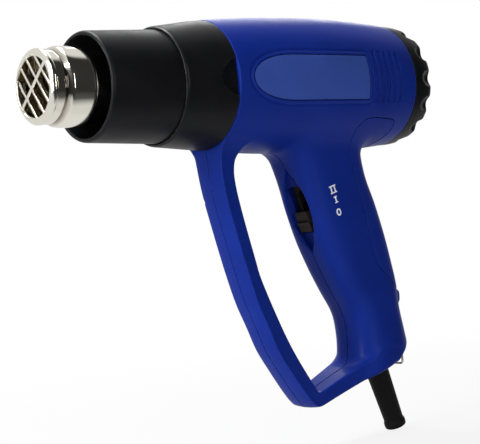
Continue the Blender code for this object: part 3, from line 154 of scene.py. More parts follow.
# Side panel and the grooves behind it
PANEL_FRONT = -147.2
PANEL_BACK = -59.7
PANEL_HALF_HEIGHT = 12.9
PANEL_NOSE = 33.0
TRAY_MARGIN = 2.6
RING_DEPTH = 0.55
RING_WIDTH = 0.75
PANEL_DEPTH = 1.7
PANEL_SUNK = 0.15
POCKET_DEPTH = 1.9
POCKET_GAP = 0.25
GROOVE_FIRST = -52.8
GROOVE_PITCH = 5.2
GROOVE_COUNT = 5
GROOVE_HALF_HEIGHT = 15.2
GROOVE_RADIUS = 1.3
GROOVE_CENTRE = 0.8

# Grip pad, its outline in the XZ plane
PAD_OUTLINE = (
    (-30.0, -27.8), (-31.4, -25.4), (-35.0, -24.2), (-43.0, -23.6), (-51.0, -23.2),
    (-57.0, -24.0), (-61.0, -26.6), (-63.2, -31.0), (-63.6, -38.0), (-62.2, -46.0),
    (-57.9, -66.0), (-53.5, -83.4), (-49.3, -103.4), (-46.6, -111.0), (-42.3, -116.6),
    (-36.5, -121.6), (-30.4, -127.6), (-20.0, -130.5), (-4.0, -131.0), (2.0, -128.0),
    (2.0, -60.0), (-28.0, -50.0), (-36.6, -44.8), (-37.8, -41.8), (-34.8, -38.6), (-31.6, -34.8),
    (-29.8, -31.0),
)
PAD_THICKNESS = 1.3
PAD_GAP = 0.15

# Switch
SWITCH_CENTRE = (-87.3, -74.3)
SWITCH_TILT = math.radians(16.3)
LEAF_HALF_LENGTH = 25.0
LEAF_HALF_WIDTH = 8.6
LEAF_FLARE = 0.25
SLOT_HALF_LENGTH = 14.6
SLOT_HALF_WIDTH = 6.9
SWITCH_DEPTH = 14.0
SWITCH_WALL = 3.6

# Slide: its place at rest, its blocks (place, half length, half width, rounding, height, half
# depth), then half length, half width and half depth of its plate and of its stem
SLIDER_REST = -7.3
SLIDER_BLOCKS = ((3.7, 2.5, 5.1, 0.6, 1.2, 1.9), (-3.2, 2.9, 5.1, 0.6, 1.4, 1.9))
SLIDER_LEDGE = (-0.9, 1.0, 5.2, 0.5, 2.2, 1.8)
SLIDER_PLATE = (6.3, 5.3, 1.5)
SLIDER_STEM = (3.0, 3.5, 4.5)
SLIDER_RIDGE = 0.18
SLIDER_RIDGE_PITCH = 1.15

# Lug at the back of the grip, under the pad
LUG_PLACE = (-26.9, -133.8)
LUG_TILT = math.radians(3.0)
LUG_HALF_SIZE = (3.2, 13.0, 4.6)

# Marks beside the switch, on the near side
MARK_TWO = (-79.0, -64.2)
MARK_ONE = (-77.3, -70.4)
MARK_ZERO = (-75.7, -78.0)

# Strokes of the marks II and I: centre, width and height
STROKES_TWO = (
    (-1.35, 0.0, 0.9, 3.6), (1.35, 0.0, 0.9, 3.6), (0.0, 2.05, 5.0, 0.75), (0.0, -2.05, 5.0, 0.75),
)
STROKES_ONE = ((0.0, 0.0, 0.9, 3.0), (0.0, 1.7, 2.4, 0.7), (0.0, -1.7, 2.4, 0.7))

# Outline of the mark O: half widths and half heights of its two rings
RINGS_ZERO = ((1.75, 2.3), (0.9, 1.4))
MARK_HEIGHT = 0.10
MARK_DEPTH = 0.12

# Grille: tilts in degrees, sizes along X and across, and the slats' offsets
GRILLE_RIM = ((-264.6, 15.8), (-264.6, 17.4), (-261.0, 17.4), (-261.0, 15.8))
GRILLE_REACH = 16.2
GRILLE_BEVEL = 0.35
GRILLE_RIB_X = -263.4
GRILLE_RIB_SIZE = (3.0, 2.0, 32.2)
GRILLE_RIB_TILT = 52.0
GRILLE_RIB_OFFSET = 1.1
GRILLE_SLAT_X = -261.8
GRILLE_SLAT_SIZE = (5.6, 1.6)
GRILLE_SLAT_TILT = -36.0
GRILLE_SLATS = (-11.6, -4.4, 2.8, 9.9)

# Round pieces: closed profiles of (x, radius, rounding), the boot's in its own frame
PROFILES = {
    "nozzle_skin": (
        (-265.3, 16.2, 0.4), (-265.2, 17.6, 0.7), (-263.7, 19.7, 0.9), (-262.3, 19.7, 0.3),
        (-261.9, 19.35, 0.3), (-257.4, 19.5, 0.5), (-256.8, 17.9, 0.4), (-255.8, 17.8, 0.4),
        (-253.4, 20.9, 0.9), (-250.6, 21.2, 2.0), (-239.6, 21.3, 1.0), (-238.6, 19.4, 0.5),
        (-157.4, 19.0, 0.0), (-157.4, 25.0, 0.3), (-156.0, 25.0, 0.3), (-156.0, 18.0, 0.0),
        (-240.0, 18.0, 0.6), (-241.0, 20.1, 0.6), (-252.8, 19.8, 0.8), (-255.0, 17.0, 0.5),
        (-257.4, 17.0, 0.4), (-258.0, 18.4, 0.4), (-263.6, 18.4, 0.4), (-264.3, 16.2, 0.3),
    ),
    "sleeve_skin": (
        (-235.8, 27.3, 0.5), (-235.8, 28.7, 1.0), (-234.5, 29.5, 0.9), (-191.5, 31.3, 0.0),
        (-178.6, 31.3, 0.2), (-178.6, 29.0, 0.2), (-191.5, 28.9, 0.0), (-234.0, 27.0, 0.4),
    ),
    "boot_skin": (
        (-10.3, 3.8, 0.2), (-10.3, 9.8, 0.4), (-6.8, 9.8, 0.4), (-6.8, 7.25, 0.3), (0.0, 7.25, 0.0),
        (38.6, 6.15, 0.8), (40.4, 6.9, 0.7), (43.7, 6.7, 0.9), (43.7, 3.9, 0.5), (20.0, 3.8, 0.0),
    ),
}

# Collar: its thumb recess and its spigot
COLLAR_LEAF = (3.3, 15.0, 10.3)
COLLAR_LEAF_SLOPE = 0.26
COLLAR_LEAF_FROM = -169.0
COLLAR_SPIGOT_RADIUS = 33.7
COLLAR_SPIGOT_FROM = 10.0
COLLAR_BORE = 31.65

# Rear cap: its outer radius along X, its scoops and its sunk face with the hub and the slots
CAP_SECTIONS = (
    (-24.0, 37.4), (-16.0, 37.4), (-11.0, 37.4), (-6.0, 36.9),
    (-3.0, 36.3), (-1.0, 35.4), (0.5, 34.2), (4.0, 31.0),
)
CAP_BORE = 32.6
CAP_SPIGOT_RADIUS = 34.9
CAP_END_THICKNESS = 4.2
CAP_FACE_RADIUS = 29.0
CAP_FACE_DEPTH = 2.0
CAP_HUB_RADIUS = 9.0
CAP_SLOT_HALF_WIDTH = 1.5
CAP_SLOT_MIDDLE = 19.0
CAP_SLOT_HALF_LENGTH = 6.8
SCOOP_COUNT = 14
SCOOP_SIZE = (9.4, 6.2, 7.6)
SCOOP_RADIUS = 40.3

# Cord outlet and hanging bail
BOOT_POINT = (-40.0, -174.4)
BOOT_TOP_RADIUS = 7.3
BOOT_GAP = 0.3
BOOT_HOLE_TOP = -155.0
BAIL_PIVOT = (-25.0, -166.5)
BAIL_HALF_WIDTH = 10.0
BAIL_DROP = 9.8
BAIL_CORNER = 1.7
BAIL_WIRE = 0.75
BAIL_SLOT_HALF_WIDTH = 1.3
BAIL_SLOT_REACH = 5.0
BAIL_SLOT_RISE = 1.6

# Screws on the far side: place in the XZ plane and depth of the seat
SCREWS = (
    (-30.0, 32.05, 8.5), (-140.0, 31.23, 8.5), (-69.0, -45.0, 14.0), (-40.0, -118.0, 11.7),
    (-33.0, -152.0, 13.0), (-101.5, -185.8, 6.2), (-150.8, -64.0, 6.2),
)
SCREW_HEAD = 2.6
SCREW_DOME = 4.6
SCREW_SHAFT = 1.2
SCREW_END = -16.0
SCREW_PITCH = 0.9
SCREW_ARM = (0.38, 1.6)

# Boxes that the fields are meshed in
HOUSING_BOX = ((-159.0, -15.0), (-42.5, 1.2), (-195.0, 42.5))
PAD_BOX = ((-68.0, 4.0), (-42.0, 42.0), (-133.0, -20.0))
PANEL_BOX = ((-150.0, -58.0), (-42.0, -34.0), (-15.0, 15.0))
COLLAR_BOX = ((-192.5, -149.0), (-38.0, 38.0), (-38.0, 38.0))
CAP_BOX = ((-25.0, 1.2), (-39.0, 39.0), (-39.0, 39.0))
SLIDER_BOX = ((-96.0, -70.0), (-7.0, 7.0), (-92.0, -68.0))
SCREW_BOX = ((-3.2, 3.2), (-16.8, 3.2), (-3.2, 3.2))

# Camera
CAMERA_PLACE = (-0.57889, -0.53335, -0.08447)
CAMERA_RIGHT = (0.76729, -0.63356, -0.09936)
CAMERA_UP = (0.07092, -0.07015, 0.99501)
CAMERA_FORWARD = (0.63737, 0.77051, 0.00889)
CAMERA_LENS = 89.94

# Studio, in metres and watts: what the lamps look at, then their places, sizes and powers
LAMP_AIM = (-0.10, 0.0, -0.05)
LAMPS = {
    "top": ((-0.30, 0.40, 1.10), (0.9, 0.35), 18.0),
    "left": ((-1.20, -0.08, 0.30), (0.30, 0.9), 14.0),
    "front": ((-0.33, -1.15, 0.08), (0.07, 0.9), 4.2),
    "back": ((0.70, 0.75, 0.60), (0.4, 0.7), 3.0),
}
WORLD_SOFT = 0.12
FLOOR_TONE = 0.55
FLOOR_SIZE = 6.0
FLOOR_DROP = 0.0006
FLOOR_FADE = (0.86, 1.0, 0.10, 0.60)
FLOOR_REFLECTED = (-0.26, -0.12)
WORLD_REFLECTED = (-0.20, -0.02)
REFLECTED_DARK = 0.03
REFLECTED_BRIGHT = 0.75

# Colours and gloss
PLASTIC_GLOSS = 0.06
BLACK_GLOSS = 0.14
BLUE = (0.0056, 0.0225, 0.226)
BLUE_WORN = (0.030, 0.065, 0.330)
PANEL_BLUE = (0.038, 0.078, 0.345)
PANEL_WORN = (0.09, 0.13, 0.36)
BLACK = (0.0060, 0.0062, 0.0075)
BLACK_WORN = (0.055, 0.055, 0.058)
# Brown of the dark reflection painted on the nozzle's chrome, and where along X, in metres, its band
# rises and falls
PAINTED_REFLECTION_BROWN = (0.075, 0.035, 0.014)
REFLECTION_BAND_FRONT = (-0.2580, -0.2569)
REFLECTION_BAND_BACK = (-0.2560, -0.2538)
METAL = {"metallic": 1.0, "depth": 0.0001}
BLACK_EDGES = {"worn": BLACK_WORN, "spread": 0.05, "gloss": BLACK_GLOSS}

# Patterns that every look has, per metre, and the streaks of the dark reflection painted on the nozzle
CLOUDS = 38.0
PATCHES = 260.0
SMUDGES = 75.0
REFLECTION_STREAKS = 60.0

# Looks: colour, roughness, cloudiness, grain per metre and bump, then what isn't usual
LOOKS = {
    "housing_blue": (BLUE, 0.36, 0.07, 1500.0, 0.06, dict(worn=BLUE_WORN, wear=0.30, spread=0.04)),
    "pad_blue": (BLUE, 0.44, 0.08, 1900.0, 0.10, dict(worn=BLUE_WORN, wear=0.25, spread=0.04)),
    "panel_blue": (PANEL_BLUE, 0.42, 0.06, 2400.0, 0.08, dict(worn=PANEL_WORN, spread=0.03)),
    # The chrome has a dark brown reflection painted in its groove
    "nozzle_chrome": ((0.88, 0.85, 0.76), 0.11, 0.05, 520.0, 0.012,
                      dict(METAL, depth=0.00005, spread=0.04, painted_reflection=PAINTED_REFLECTION_BROWN)),
    "shield_black": (BLACK, 0.42, 0.2, 1700.0, 0.12, dict(BLACK_EDGES, wear=0.55)),
    "collar_black": (BLACK, 0.38, 0.2, 1500.0, 0.12, dict(BLACK_EDGES, wear=0.6)),
    "cap_black": (BLACK, 0.40, 0.2, 1500.0, 0.14, dict(BLACK_EDGES, wear=0.6)),
    "switch_black": ((0.031, 0.024, 0.020), 0.48, 0.2, 1600.0, 0.15,
                     dict(worn=(0.08, 0.075, 0.07), wear=0.6)),
    "boot_rubber": ((0.0095, 0.0095, 0.010), 0.52, 0.2, 1300.0, 0.2, dict(worn=(0.045, 0.045, 0.045))),
    "bail_steel": ((0.66, 0.64, 0.60), 0.20, 0.08, 1400.0, 0.1, METAL),
    "plate_steel": ((0.50, 0.50, 0.51), 0.36, 0.12, 1100.0, 0.15, METAL),
    "mica": ((0.15, 0.105, 0.055), 0.38, 0.3, 700.0, 0.25, dict(stretch=(0.3, 1.0, 1.0))),
    "ceramic": ((0.74, 0.69, 0.60), 0.80, 0.1, 1200.0, 0.3, dict(worn=(0.45, 0.38, 0.30), wear=0.4)),
    "wire_steel": ((0.36, 0.33, 0.31), 0.45, 0.2, 1500.0, 0.2, METAL),
    "inner_ivory": ((0.66, 0.62, 0.52), 0.50, 0.06, 1200.0, 0.12,
                    dict(worn=(0.85, 0.82, 0.74), wear=0.4)),
    "motor_steel": ((0.56, 0.56, 0.57), 0.30, 0.08, 1600.0, 0.15, dict(METAL, stretch=(0.2, 1.0, 1.0))),
    "inner_black": ((0.014, 0.014, 0.015), 0.50, 0.2, 1200.0, 0.15, dict(worn=BLACK_WORN)),
    "magnet_black": ((0.030, 0.029, 0.030), 0.62, 0.25, 2200.0, 0.3, {}),
    "bush_brass": ((0.60, 0.43, 0.17), 0.33, 0.12, 1500.0, 0.15, METAL),
    "armature_copper": ((0.55, 0.26, 0.13), 0.38, 0.15, 1900.0, 0.4,
                        dict(METAL, depth=0.0002, stretch=(0.15, 1.0, 1.0))),
    "board_green": ((0.022, 0.115, 0.050), 0.42, 0.15, 1500.0, 0.15, dict(coat=0.3)),
    "capacitor_blue": ((0.020, 0.085, 0.330), 0.38, 0.1, 900.0, 0.08, dict(coat=0.2)),
    "screw_steel": ((0.48, 0.48, 0.49), 0.30, 0.12, 1500.0, 0.2, dict(METAL, worn=(0.7, 0.7, 0.7))),
    "mark_white": ((0.80, 0.82, 0.90), 0.50, 0.04, 1900.0, 0.1, dict(spread=0.05)),
}

# CAD nodes that stay as they are, by look
CARRIED_OVER = {
    "plate_steel": ("shield_spacer", "tube_holder", "intake_screen"),
    "mica": ("mica_liner",),
    "ceramic": ("heater_core", "heater_end_plate"),
    "wire_steel": ("heater_coil",),
    "inner_ivory": ("thermal_cutout", "air_funnel", "fan_duct", "fan_impeller", "terminal_block"),
    "motor_steel": ("motor_can", "motor_shaft"),
    "inner_black": ("motor_end_cap", "rectifier", "cord_clamp"),
    "magnet_black": ("magnet_near", "magnet_far"),
    "bush_brass": ("bush_front", "bush_back"),
    "armature_copper": ("armature",),
    "switch_black": ("switch_body",),
    "board_green": ("rectifier_board",),
    "capacitor_blue": ("capacitor",),
}


def smooth_max(a, b, width):
    """The larger of two fields, with a rounded change between them."""
    near = np.maximum(width - np.abs(a - b), 0.0)
    return np.maximum(a, b) + near * near * (0.25 / width)


def smooth_min(a, b, width):
    """The smaller of two fields, with a rounded change between them."""
    near = np.maximum(width - np.abs(a - b), 0.0)
    return np.minimum(a, b) - near * near * (0.25 / width)


def carve(solid, hole, width):
    """A solid with a hole taken out, its rim rounded."""
    return smooth_max(solid, -hole, width)


class Table:
    """A smooth curve through (position, value) pairs."""

    def __init__(self, pairs, soften=5.0):
        at, value = np.array(sorted(pairs)).T
        span = np.diff(at)
        slope = np.diff(value) / span
        tangent = np.concatenate((slope[:1], slope, slope[-1:]))
        tangent = 0.5 * (tangent[:-1] + tangent[1:])
        inner = (slope[:-1] * span[1:] + slope[1:] * span[:-1]) / (span[1:] + span[:-1])
        tangent[1:-1] = inner
        step = 0.25
        self.at = np.arange(at[0] - 12.0, at[-1] + 12.0, step)
        inside = np.clip(self.at, at[0], at[-1])
        index = np.clip(np.searchsorted(at, inside, side="right") - 1, 0, len(at) - 2)
        t = (inside - at[index]) / span[index]
        before = value[index] * (1.0 + 2.0 * t) * (1.0 - t) ** 2
        before = before + span[index] * tangent[index] * t * (1.0 - t) ** 2
        after = value[index + 1] * t * t * (3.0 - 2.0 * t)
        after = after - span[index] * tangent[index + 1] * t * t * (1.0 - t)
        dense = before + after + (self.at - inside) * np.where(self.at < at[0], slope[0], slope[-1])
        count = max(1, int(soften / step)) | 1
        window = np.hanning(count + 2)
        padded = np.pad(dense, count // 2 + 1, mode="edge")
        self.value = np.convolve(padded, window / window.sum(), mode="valid")
        self.value[: count] = dense[: count]
        self.value[-count:] = dense[-count:]

    def __call__(self, position):
        return np.interp(position, self.at, self.value).astype(position.dtype)


def rounded_line(points, step=0.8):
    """A smooth closed line through points, as an array of close points."""
    points = np.array(points, dtype=float)
    line = []
    for index in range(len(points)):
        before, start, end, after = (points[(index + shift) % len(points)] for shift in (-1, 0, 1, 2))
        count = max(2, int(np.linalg.norm(end - start) / step))
        t = (np.arange(count) / count)[:, None]
        square = 2.0 * before - 5.0 * start + 4.0 * end - after
        cube = 3.0 * start - before - 3.0 * end + after
        line.append(0.5 * (2.0 * start + (end - before) * t + square * t ** 2 + cube * t ** 3))
    return np.concatenate(line)


class Outline:
    """A closed line in a plane, kept as a grid of signed distances, negative inside."""

    def __init__(self, line, margin=10.0, step=0.5, soften=1):
        self.step = step
        self.low = line.min(axis=0) - margin
        count = np.ceil((line.max(axis=0) + margin - self.low) / step).astype(int) + 1
        u = (self.low[0] + step * np.arange(count[0]))[:, None]
        v = (self.low[1] + step * np.arange(count[1]))[None, :]
        nearest = np.full((count[0], count[1]), 1e9)
        inside = np.zeros((count[0], count[1]), dtype=bool)
        for start, end in zip(line, np.roll(line, -1, axis=0)):
            along = end - start
            length = max(float(along @ along), 1e-12)
            t = np.clip(((u - start[0]) * along[0] + (v - start[1]) * along[1]) / length, 0.0, 1.0)
            far = (u - start[0] - t * along[0]) ** 2 + (v - start[1] - t * along[1]) ** 2
            np.minimum(nearest, far, out=nearest)
            if start[1] != end[1]:
                crosses = (v >= min(start[1], end[1])) & (v < max(start[1], end[1]))
                edge = start[0] + (v - start[1]) * along[0] / along[1]
                inside ^= crosses & (u < edge)
        grid = np.sqrt(nearest) * np.where(inside, -1.0, 1.0)
        for _ in range(soften):
            for axis in (0, 1):
                ahead = np.roll(grid, -1, axis)
                behind = np.roll(grid, 1, axis)
                grid = 0.5 * grid + 0.25 * (ahead + behind)
        self.grid = grid.astype(np.float32)

    def __call__(self, u, v):
        u, v = np.broadcast_arrays(u, v)
        place_u = np.clip((u - u.dtype.type(self.low[0])) / self.step, 1.0, self.grid.shape[0] - 2.001)
        place_v = np.clip((v - v.dtype.type(self.low[1])) / self.step, 1.0, self.grid.shape[1] - 2.001)
        near_u = np.rint(place_u).astype(int)
        near_v = np.rint(place_v).astype(int)
        total = 0.0
        for shift_u, weight_u in self.weights(place_u - near_u):
            for shift_v, weight_v in self.weights(place_v - near_v):
                at_u = np.clip(near_u + shift_u, 0, self.grid.shape[0] - 1)
                at_v = np.clip(near_v + shift_v, 0, self.grid.shape[1] - 1)
                total = total + weight_u * weight_v * self.grid[at_u, at_v]
        return total

    @staticmethod
    def weights(t):
        """Three smooth weights round the nearest grid point."""
        return ((-1, 0.5 * (0.5 - t) ** 2), (0, 0.75 - t * t), (1, 0.5 * (0.5 + t) ** 2))


def panel_line(grow=0.0):
    """The side panel's outline: straight at the back, arched to a nose at the front."""
    half = PANEL_HALF_HEIGHT + grow
    back = PANEL_BACK + grow
    line = [(back, half * (2.0 * index / 24 - 1.0)) for index in range(25)]
    straight = PANEL_FRONT + PANEL_NOSE
    line += [(back + (straight - back) * index / 60, half) for index in range(1, 61)]
    for index in range(1, 64):
        angle = math.pi * index / 64
        reach = math.sin(angle) ** 0.85
        line.append((PANEL_FRONT - grow + (PANEL_NOSE + grow) * (1.0 - reach), half * math.cos(angle)))
    line += [(straight + (back - straight) * index / 60, -half) for index in range(60)]
    return np.array(line)


front_of_grip = Table([(row[0], row[1]) for row in GRIP_SECTIONS])
back_of_grip = Table([(row[0], row[2]) for row in GRIP_SECTIONS])
grip_power = Table(GRIP_POWER)
side_of_grip = Table([(row[0], row[3]) for row in GRIP_SECTIONS])
side_of_guard = Table(GUARD_HALF_WIDTH)
bar_extra = Table(BAR_EXTRA_WIDTH)
guard_outer = Outline(rounded_line(GUARD_OUTER), soften=3)
guard_inner = Outline(rounded_line(GUARD_INNER), soften=3)
pad_edge = Outline(rounded_line(PAD_OUTLINE), soften=1)
cap_radius = Table(CAP_SECTIONS, soften=1.5)
panel_edge = Outline(panel_line(), margin=6.0, step=0.4)


def barrel_radius(x):
    """The barrel's outer radius: two parabolas that meet at its widest place."""
    ends = np.where(x < BARREL_WIDEST, X_HOUSING, X_CAP)
    radius = np.where(x < BARREL_WIDEST, BARREL_FRONT_RADIUS, BARREL_REAR_RADIUS)
    share = (x - BARREL_WIDEST) / (ends - BARREL_WIDEST)
    return BARREL_RADIUS - (BARREL_RADIUS - radius) * share * share


def lowered(x, z):
    """Heights brought down toward the axis, which raises the top line of the barrel."""
    along = np.clip((x - TOP_LIFT_FROM) / TOP_LIFT_RUN, 0.0, 1.0)
    return z - TOP_LIFT * along * np.clip(z / TOP_LIFT_HEIGHT, 0.0, 1.0)


def barrel_form(x, y, z):
    """The barrel without its ends."""
    z = lowered(x, z)
    return np.sqrt(y * y + z * z) - barrel_radius(x)


def grip_form(x, y, z):
    """The grip, a rounded section that changes with height."""
    front = front_of_grip(z)
    back = back_of_grip(z)
    half = side_of_grip(z)
    length = 0.5 * (back - front)
    u = np.abs(x - 0.5 * (front + back)) / length
    v = np.abs(y) / half
    power = grip_power(z)
    total = u ** power + v ** power + 1e-6
    form = total ** (1.0 / power)
    slope = (u ** (power - 1.0) / length) ** 2 + (v ** (power - 1.0) / half) ** 2
    return smooth_max((form - 1.0) * (total / form) / np.sqrt(slope + 1e-9), z, 4.0)


def guard_form(x, y, z):
    """The guard with its crowned outer face, and the bar along the bottom."""
    half = side_of_guard(z) + bar_extra(x)
    across = np.abs(y)
    share = (across / half) ** 2
    line = guard_outer(x, z)
    outside = line + GUARD_CROWN * share
    step = GUARD_STEP * np.clip((-line - GUARD_LIP) / GUARD_STEP_RUN, 0.0, 1.0)
    step = step * np.clip((GUARD_STEP_TOP - z) / GUARD_STEP_FADE, 0.0, 1.0)
    band = smooth_max(outside, across - half + step, 1.1)
    return smooth_max(band, -guard_inner(x, z), 1.3)


def tilted(x, z, centre, tilt):
    """Places in the XZ plane, seen from a centre in a frame turned by a tilt."""
    dx = x - centre[0]
    dz = z - centre[1]
    return dx * math.cos(tilt) + dz * math.sin(tilt), -dx * math.sin(tilt) + dz * math.cos(tilt)


def base_form(x, z, lift=0.0):
    """How far a point is below the slanted base."""
    plane = lift - tilted(x, z, BASE_POINT, BASE_SLOPE)[1]
    return plane + BASE_TURN_RISE * np.clip(x - BASE_TURN_FROM, 0.0, BASE_TURN_RUN)


def rear_lug(x, y, z):
    """The small raised lug below the pad, at the back of the grip."""
    dx, dz = tilted(x, z, LUG_PLACE, -LUG_TILT)
    sides = smooth_max(np.abs(dz) - LUG_HALF_SIZE[2], np.abs(y) - LUG_HALF_SIZE[1], 3.0)
    return smooth_max(np.abs(dx) - LUG_HALF_SIZE[0], sides, 2.4)


def outer_form(x, y, z):
    """Barrel, grip and guard grown together, without any detail."""
    form = smooth_min(barrel_form(x, y, z), grip_form(x, y, z), GRIP_FILLET)
    form = smooth_min(form, guard_form(x, y, z), GUARD_FILLET)
    form = smooth_min(form, rear_lug(x, y, z), LUG_FILLET)
    form = smooth_max(form, base_form(x, z), BASE_ROUNDING)
    form = smooth_max(form, X_HOUSING - x, END_ROUNDING)
    return smooth_max(form, x - X_CAP, END_ROUNDING)


def switch_frame(x, z):
    """Depth into the grip and place along the slot, seen from the switch."""
    return tilted(x, z, SWITCH_CENTRE, SWITCH_TILT)


def leaf_form(along, across, half_length, half_width):
    """A leaf between two arcs, pointed at both ends."""
    radius = (half_length ** 2 + half_width ** 2) / (2.0 * half_width)
    return np.sqrt(along ** 2 + (across + radius - half_width) ** 2) - radius


def switch_recess(x, y, z):
    """The leaf-shaped dish round the switch's slot."""
    deep, along = switch_frame(x, z)
    leaf = leaf_form(along, np.abs(y), LEAF_HALF_LENGTH, LEAF_HALF_WIDTH)
    return np.maximum(smooth_max(leaf + LEAF_FLARE * deep, deep, 2.5), -deep - SWITCH_DEPTH)


def switch_slot(x, y, z):
    """The slot that the slider runs in."""
    deep, along = switch_frame(x, z)
    opening = smooth_max(np.abs(along) - SLOT_HALF_LENGTH, np.abs(y) - SLOT_HALF_WIDTH, 1.0)
    return np.maximum(opening, np.abs(deep) - SWITCH_DEPTH)


def side_grooves(x, y, z):
    """The row of upright grooves behind the panel."""
    index = np.clip(np.rint((x - GROOVE_FIRST) / GROOVE_PITCH), 0, GROOVE_COUNT - 1)
    across = x - GROOVE_FIRST - index * GROOVE_PITCH
    deep = barrel_form(x, y, z) - 0.1
    ends = np.abs(z - GROOVE_CENTRE) - GROOVE_HALF_HEIGHT
    return smooth_max(np.sqrt(across ** 2 + deep ** 2) - GROOVE_RADIUS, ends, 0.8)


def boot_distance(x, y, z):
    """The distance from the cord outlet's axis."""
    return np.sqrt(tilted(x, z, BOOT_POINT, BASE_SLOPE)[0] ** 2 + y ** 2)


def bail_slot(x, y, z):
    """The slots under the base that the bail turns in."""
    side = np.abs(np.abs(y) - BAIL_HALF_WIDTH) - BAIL_SLOT_HALF_WIDTH
    reach = np.abs(x - BAIL_PIVOT[0]) - BAIL_SLOT_REACH
    return np.maximum(np.maximum(side, reach), z - BAIL_PIVOT[1] - BAIL_SLOT_RISE)


def hollow_form(x, y, z):
    """The inside of the barrel and of the grip."""
    from_end = np.minimum(x - X_HOUSING, X_CAP - x)
    wall = WALL + np.clip(WALL_GROWTH * (from_end - WALL_GROWTH_FROM), 0.0, WALL_GROWTH_MOST)
    inside = smooth_min(barrel_form(x, y, z) + wall, grip_form(x, y, z) + GRIP_WALL, 4.0)
    floor = base_form(x, z, BASE_FLOOR)
    switch_wall = -switch_frame(x, z)[0] + SWITCH_WALL
    return np.maximum(np.maximum(inside, floor), np.where(z < -40.0, switch_wall, -9.0))


def shared_form(x, y, z):
    """Everything that both halves of the housing have."""
    outer = outer_form(x, y, z)
    form = carve(outer, switch_recess(x, y, z), 1.0)
    form = carve(form, side_grooves(x, y, z), 0.5)
    pocket = np.maximum(pad_edge(x, z) - PAD_GAP, -(outer + PAD_THICKNESS + PAD_GAP))
    form = carve(form, pocket, 0.5)
    form = np.maximum(form, -hollow_form(x, y, z))
    form = carve(form, switch_slot(x, y, z), 0.5)
    boot = boot_distance(x, y, z) - BOOT_TOP_RADIUS - BOOT_GAP
    form = carve(form, np.maximum(boot, z - BOOT_HOLE_TOP), 0.6)
    return carve(form, bail_slot(x, y, z), 0.5)


def near_form(x, y, z):
    """The near half: the ring and the pocket of the side panel, cut at the seam."""
    form = shared_form(x, y, z)
    depth = barrel_form(x, y, z)
    edge = panel_edge(x, z)
    ring = RING_DEPTH * np.exp(-((edge - TRAY_MARGIN) / RING_WIDTH) ** 2)
    form = form + np.where(np.abs(depth) < 3.0, ring, 0.0)
    pocket = np.maximum(edge - POCKET_GAP, -(depth + POCKET_DEPTH))
    form = carve(form, pocket, 1.0)
    tongue = 2.0 * SEAM * np.clip(-outer_form(x, y, z) - TONGUE_DEPTH, 0.0, 1.0)
    return smooth_max(form, y + SEAM - tongue, 0.6)


def far_form(x, y, z):
    """The far half, drawn on the near side: the screws' counterbores, cut at the seam."""
    form = shared_form(x, y, z)
    for screw_x, screw_z, seat in SCREWS:
        away = np.sqrt((x - screw_x) ** 2 + (z - screw_z) ** 2)
        form = carve(form, np.maximum(away - SCREW_HEAD - 0.45, y + seat), 0.9)
    return smooth_max(form, y + SEAM, 0.6)


def pad_form(x, y, z):
    """The pad: a thin skin over the back of the grip, inside its outline."""
    outer = outer_form(x, y, z)
    form = smooth_max(outer, pad_edge(x, z) + PAD_GAP, 0.5)
    return np.maximum(form, -(outer + PAD_THICKNESS))


def panel_form(x, y, z):
    """The bare plate that lies in the tray."""
    depth = barrel_form(x, y, z)
    form = smooth_max(depth + PANEL_SUNK, panel_edge(x, z), 0.5)
    return np.maximum(form, -(depth + PANEL_DEPTH))


def grid_of(box, cell):
    """The three axes of a grid over a box, as broadcasting arrays."""
    axes = [np.arange(low, high + cell, cell, dtype=np.float32) for low, high in box]
    return axes[0][:, None, None], axes[1][None, :, None], axes[2][None, None, :]


def net_of(values, low, cell):
    """Points and quads of the surface where a grid of values changes sign."""
    inside = values < 0.0
    shape = np.array(values.shape) - 1
    window = [(a, b, c) for a in (0, 1) for b in (0, 1) for c in (0, 1)]
    count = np.zeros(shape, dtype=np.uint8)
    for a, b, c in window:
        count += inside[a:a + shape[0], b:b + shape[1], c:c + shape[2]]
    mixed = (count > 0) & (count < 8)
    cells = np.argwhere(mixed)
    number = np.full(shape, -1, dtype=np.int64)
    number[mixed] = np.arange(len(cells))
    corner = {w: values[cells[:, 0] + w[0], cells[:, 1] + w[1], cells[:, 2] + w[2]] for w in window}
    total = np.zeros((len(cells), 3))
    hits = np.zeros(len(cells))
    for start in window:
        for axis in range(3):
            if start[axis] == 1:
                continue
            end = tuple(1 if index == axis else start[index] for index in range(3))
            first, last = corner[start], corner[end]
            crossed = (first < 0.0) != (last < 0.0)
            share = np.where(crossed, first / np.where(crossed, first - last, 1.0), 0.0)
            point = np.array(start, dtype=float)[None, :] + np.eye(3)[axis] * share[:, None]
            total += point * crossed[:, None]
            hits += crossed
    points = low + cell * (cells + total / hits[:, None])
    quads = []
    for axis in range(3):
        first, second = (axis + 1) % 3, (axis + 2) % 3
        ahead = [slice(1, -1)] * 3
        behind = [slice(1, -1)] * 3
        behind[axis] = slice(0, -1)
        ahead[axis] = slice(1, None)
        crossed = inside[tuple(behind)] != inside[tuple(ahead)]
        filled = inside[tuple(behind)][crossed]
        at = np.argwhere(crossed)
        at[:, first] += 1
        at[:, second] += 1
        around = []
        for back_first, back_second in ((1, 1), (0, 1), (0, 0), (1, 0)):
            cell_at = at.copy()
            cell_at[:, first] -= back_first
            cell_at[:, second] -= back_second
            around.append(number[cell_at[:, 0], cell_at[:, 1], cell_at[:, 2]])
        quad = np.stack(around, axis=1)
        quad[~filled] = quad[~filled][:, ::-1]
        quads.append(quad)
    return points, np.concatenate(quads)


def gradient(form, points, step=0.12):
    """The field's slope at each point."""
    x, y, z = points.T
    return np.stack((
        form(x + step, y, z) - form(x - step, y, z),
        form(x, y + step, z) - form(x, y - step, z),
        form(x, y, z + step) - form(x, y, z - step),
    ), axis=1) / (2.0 * step)


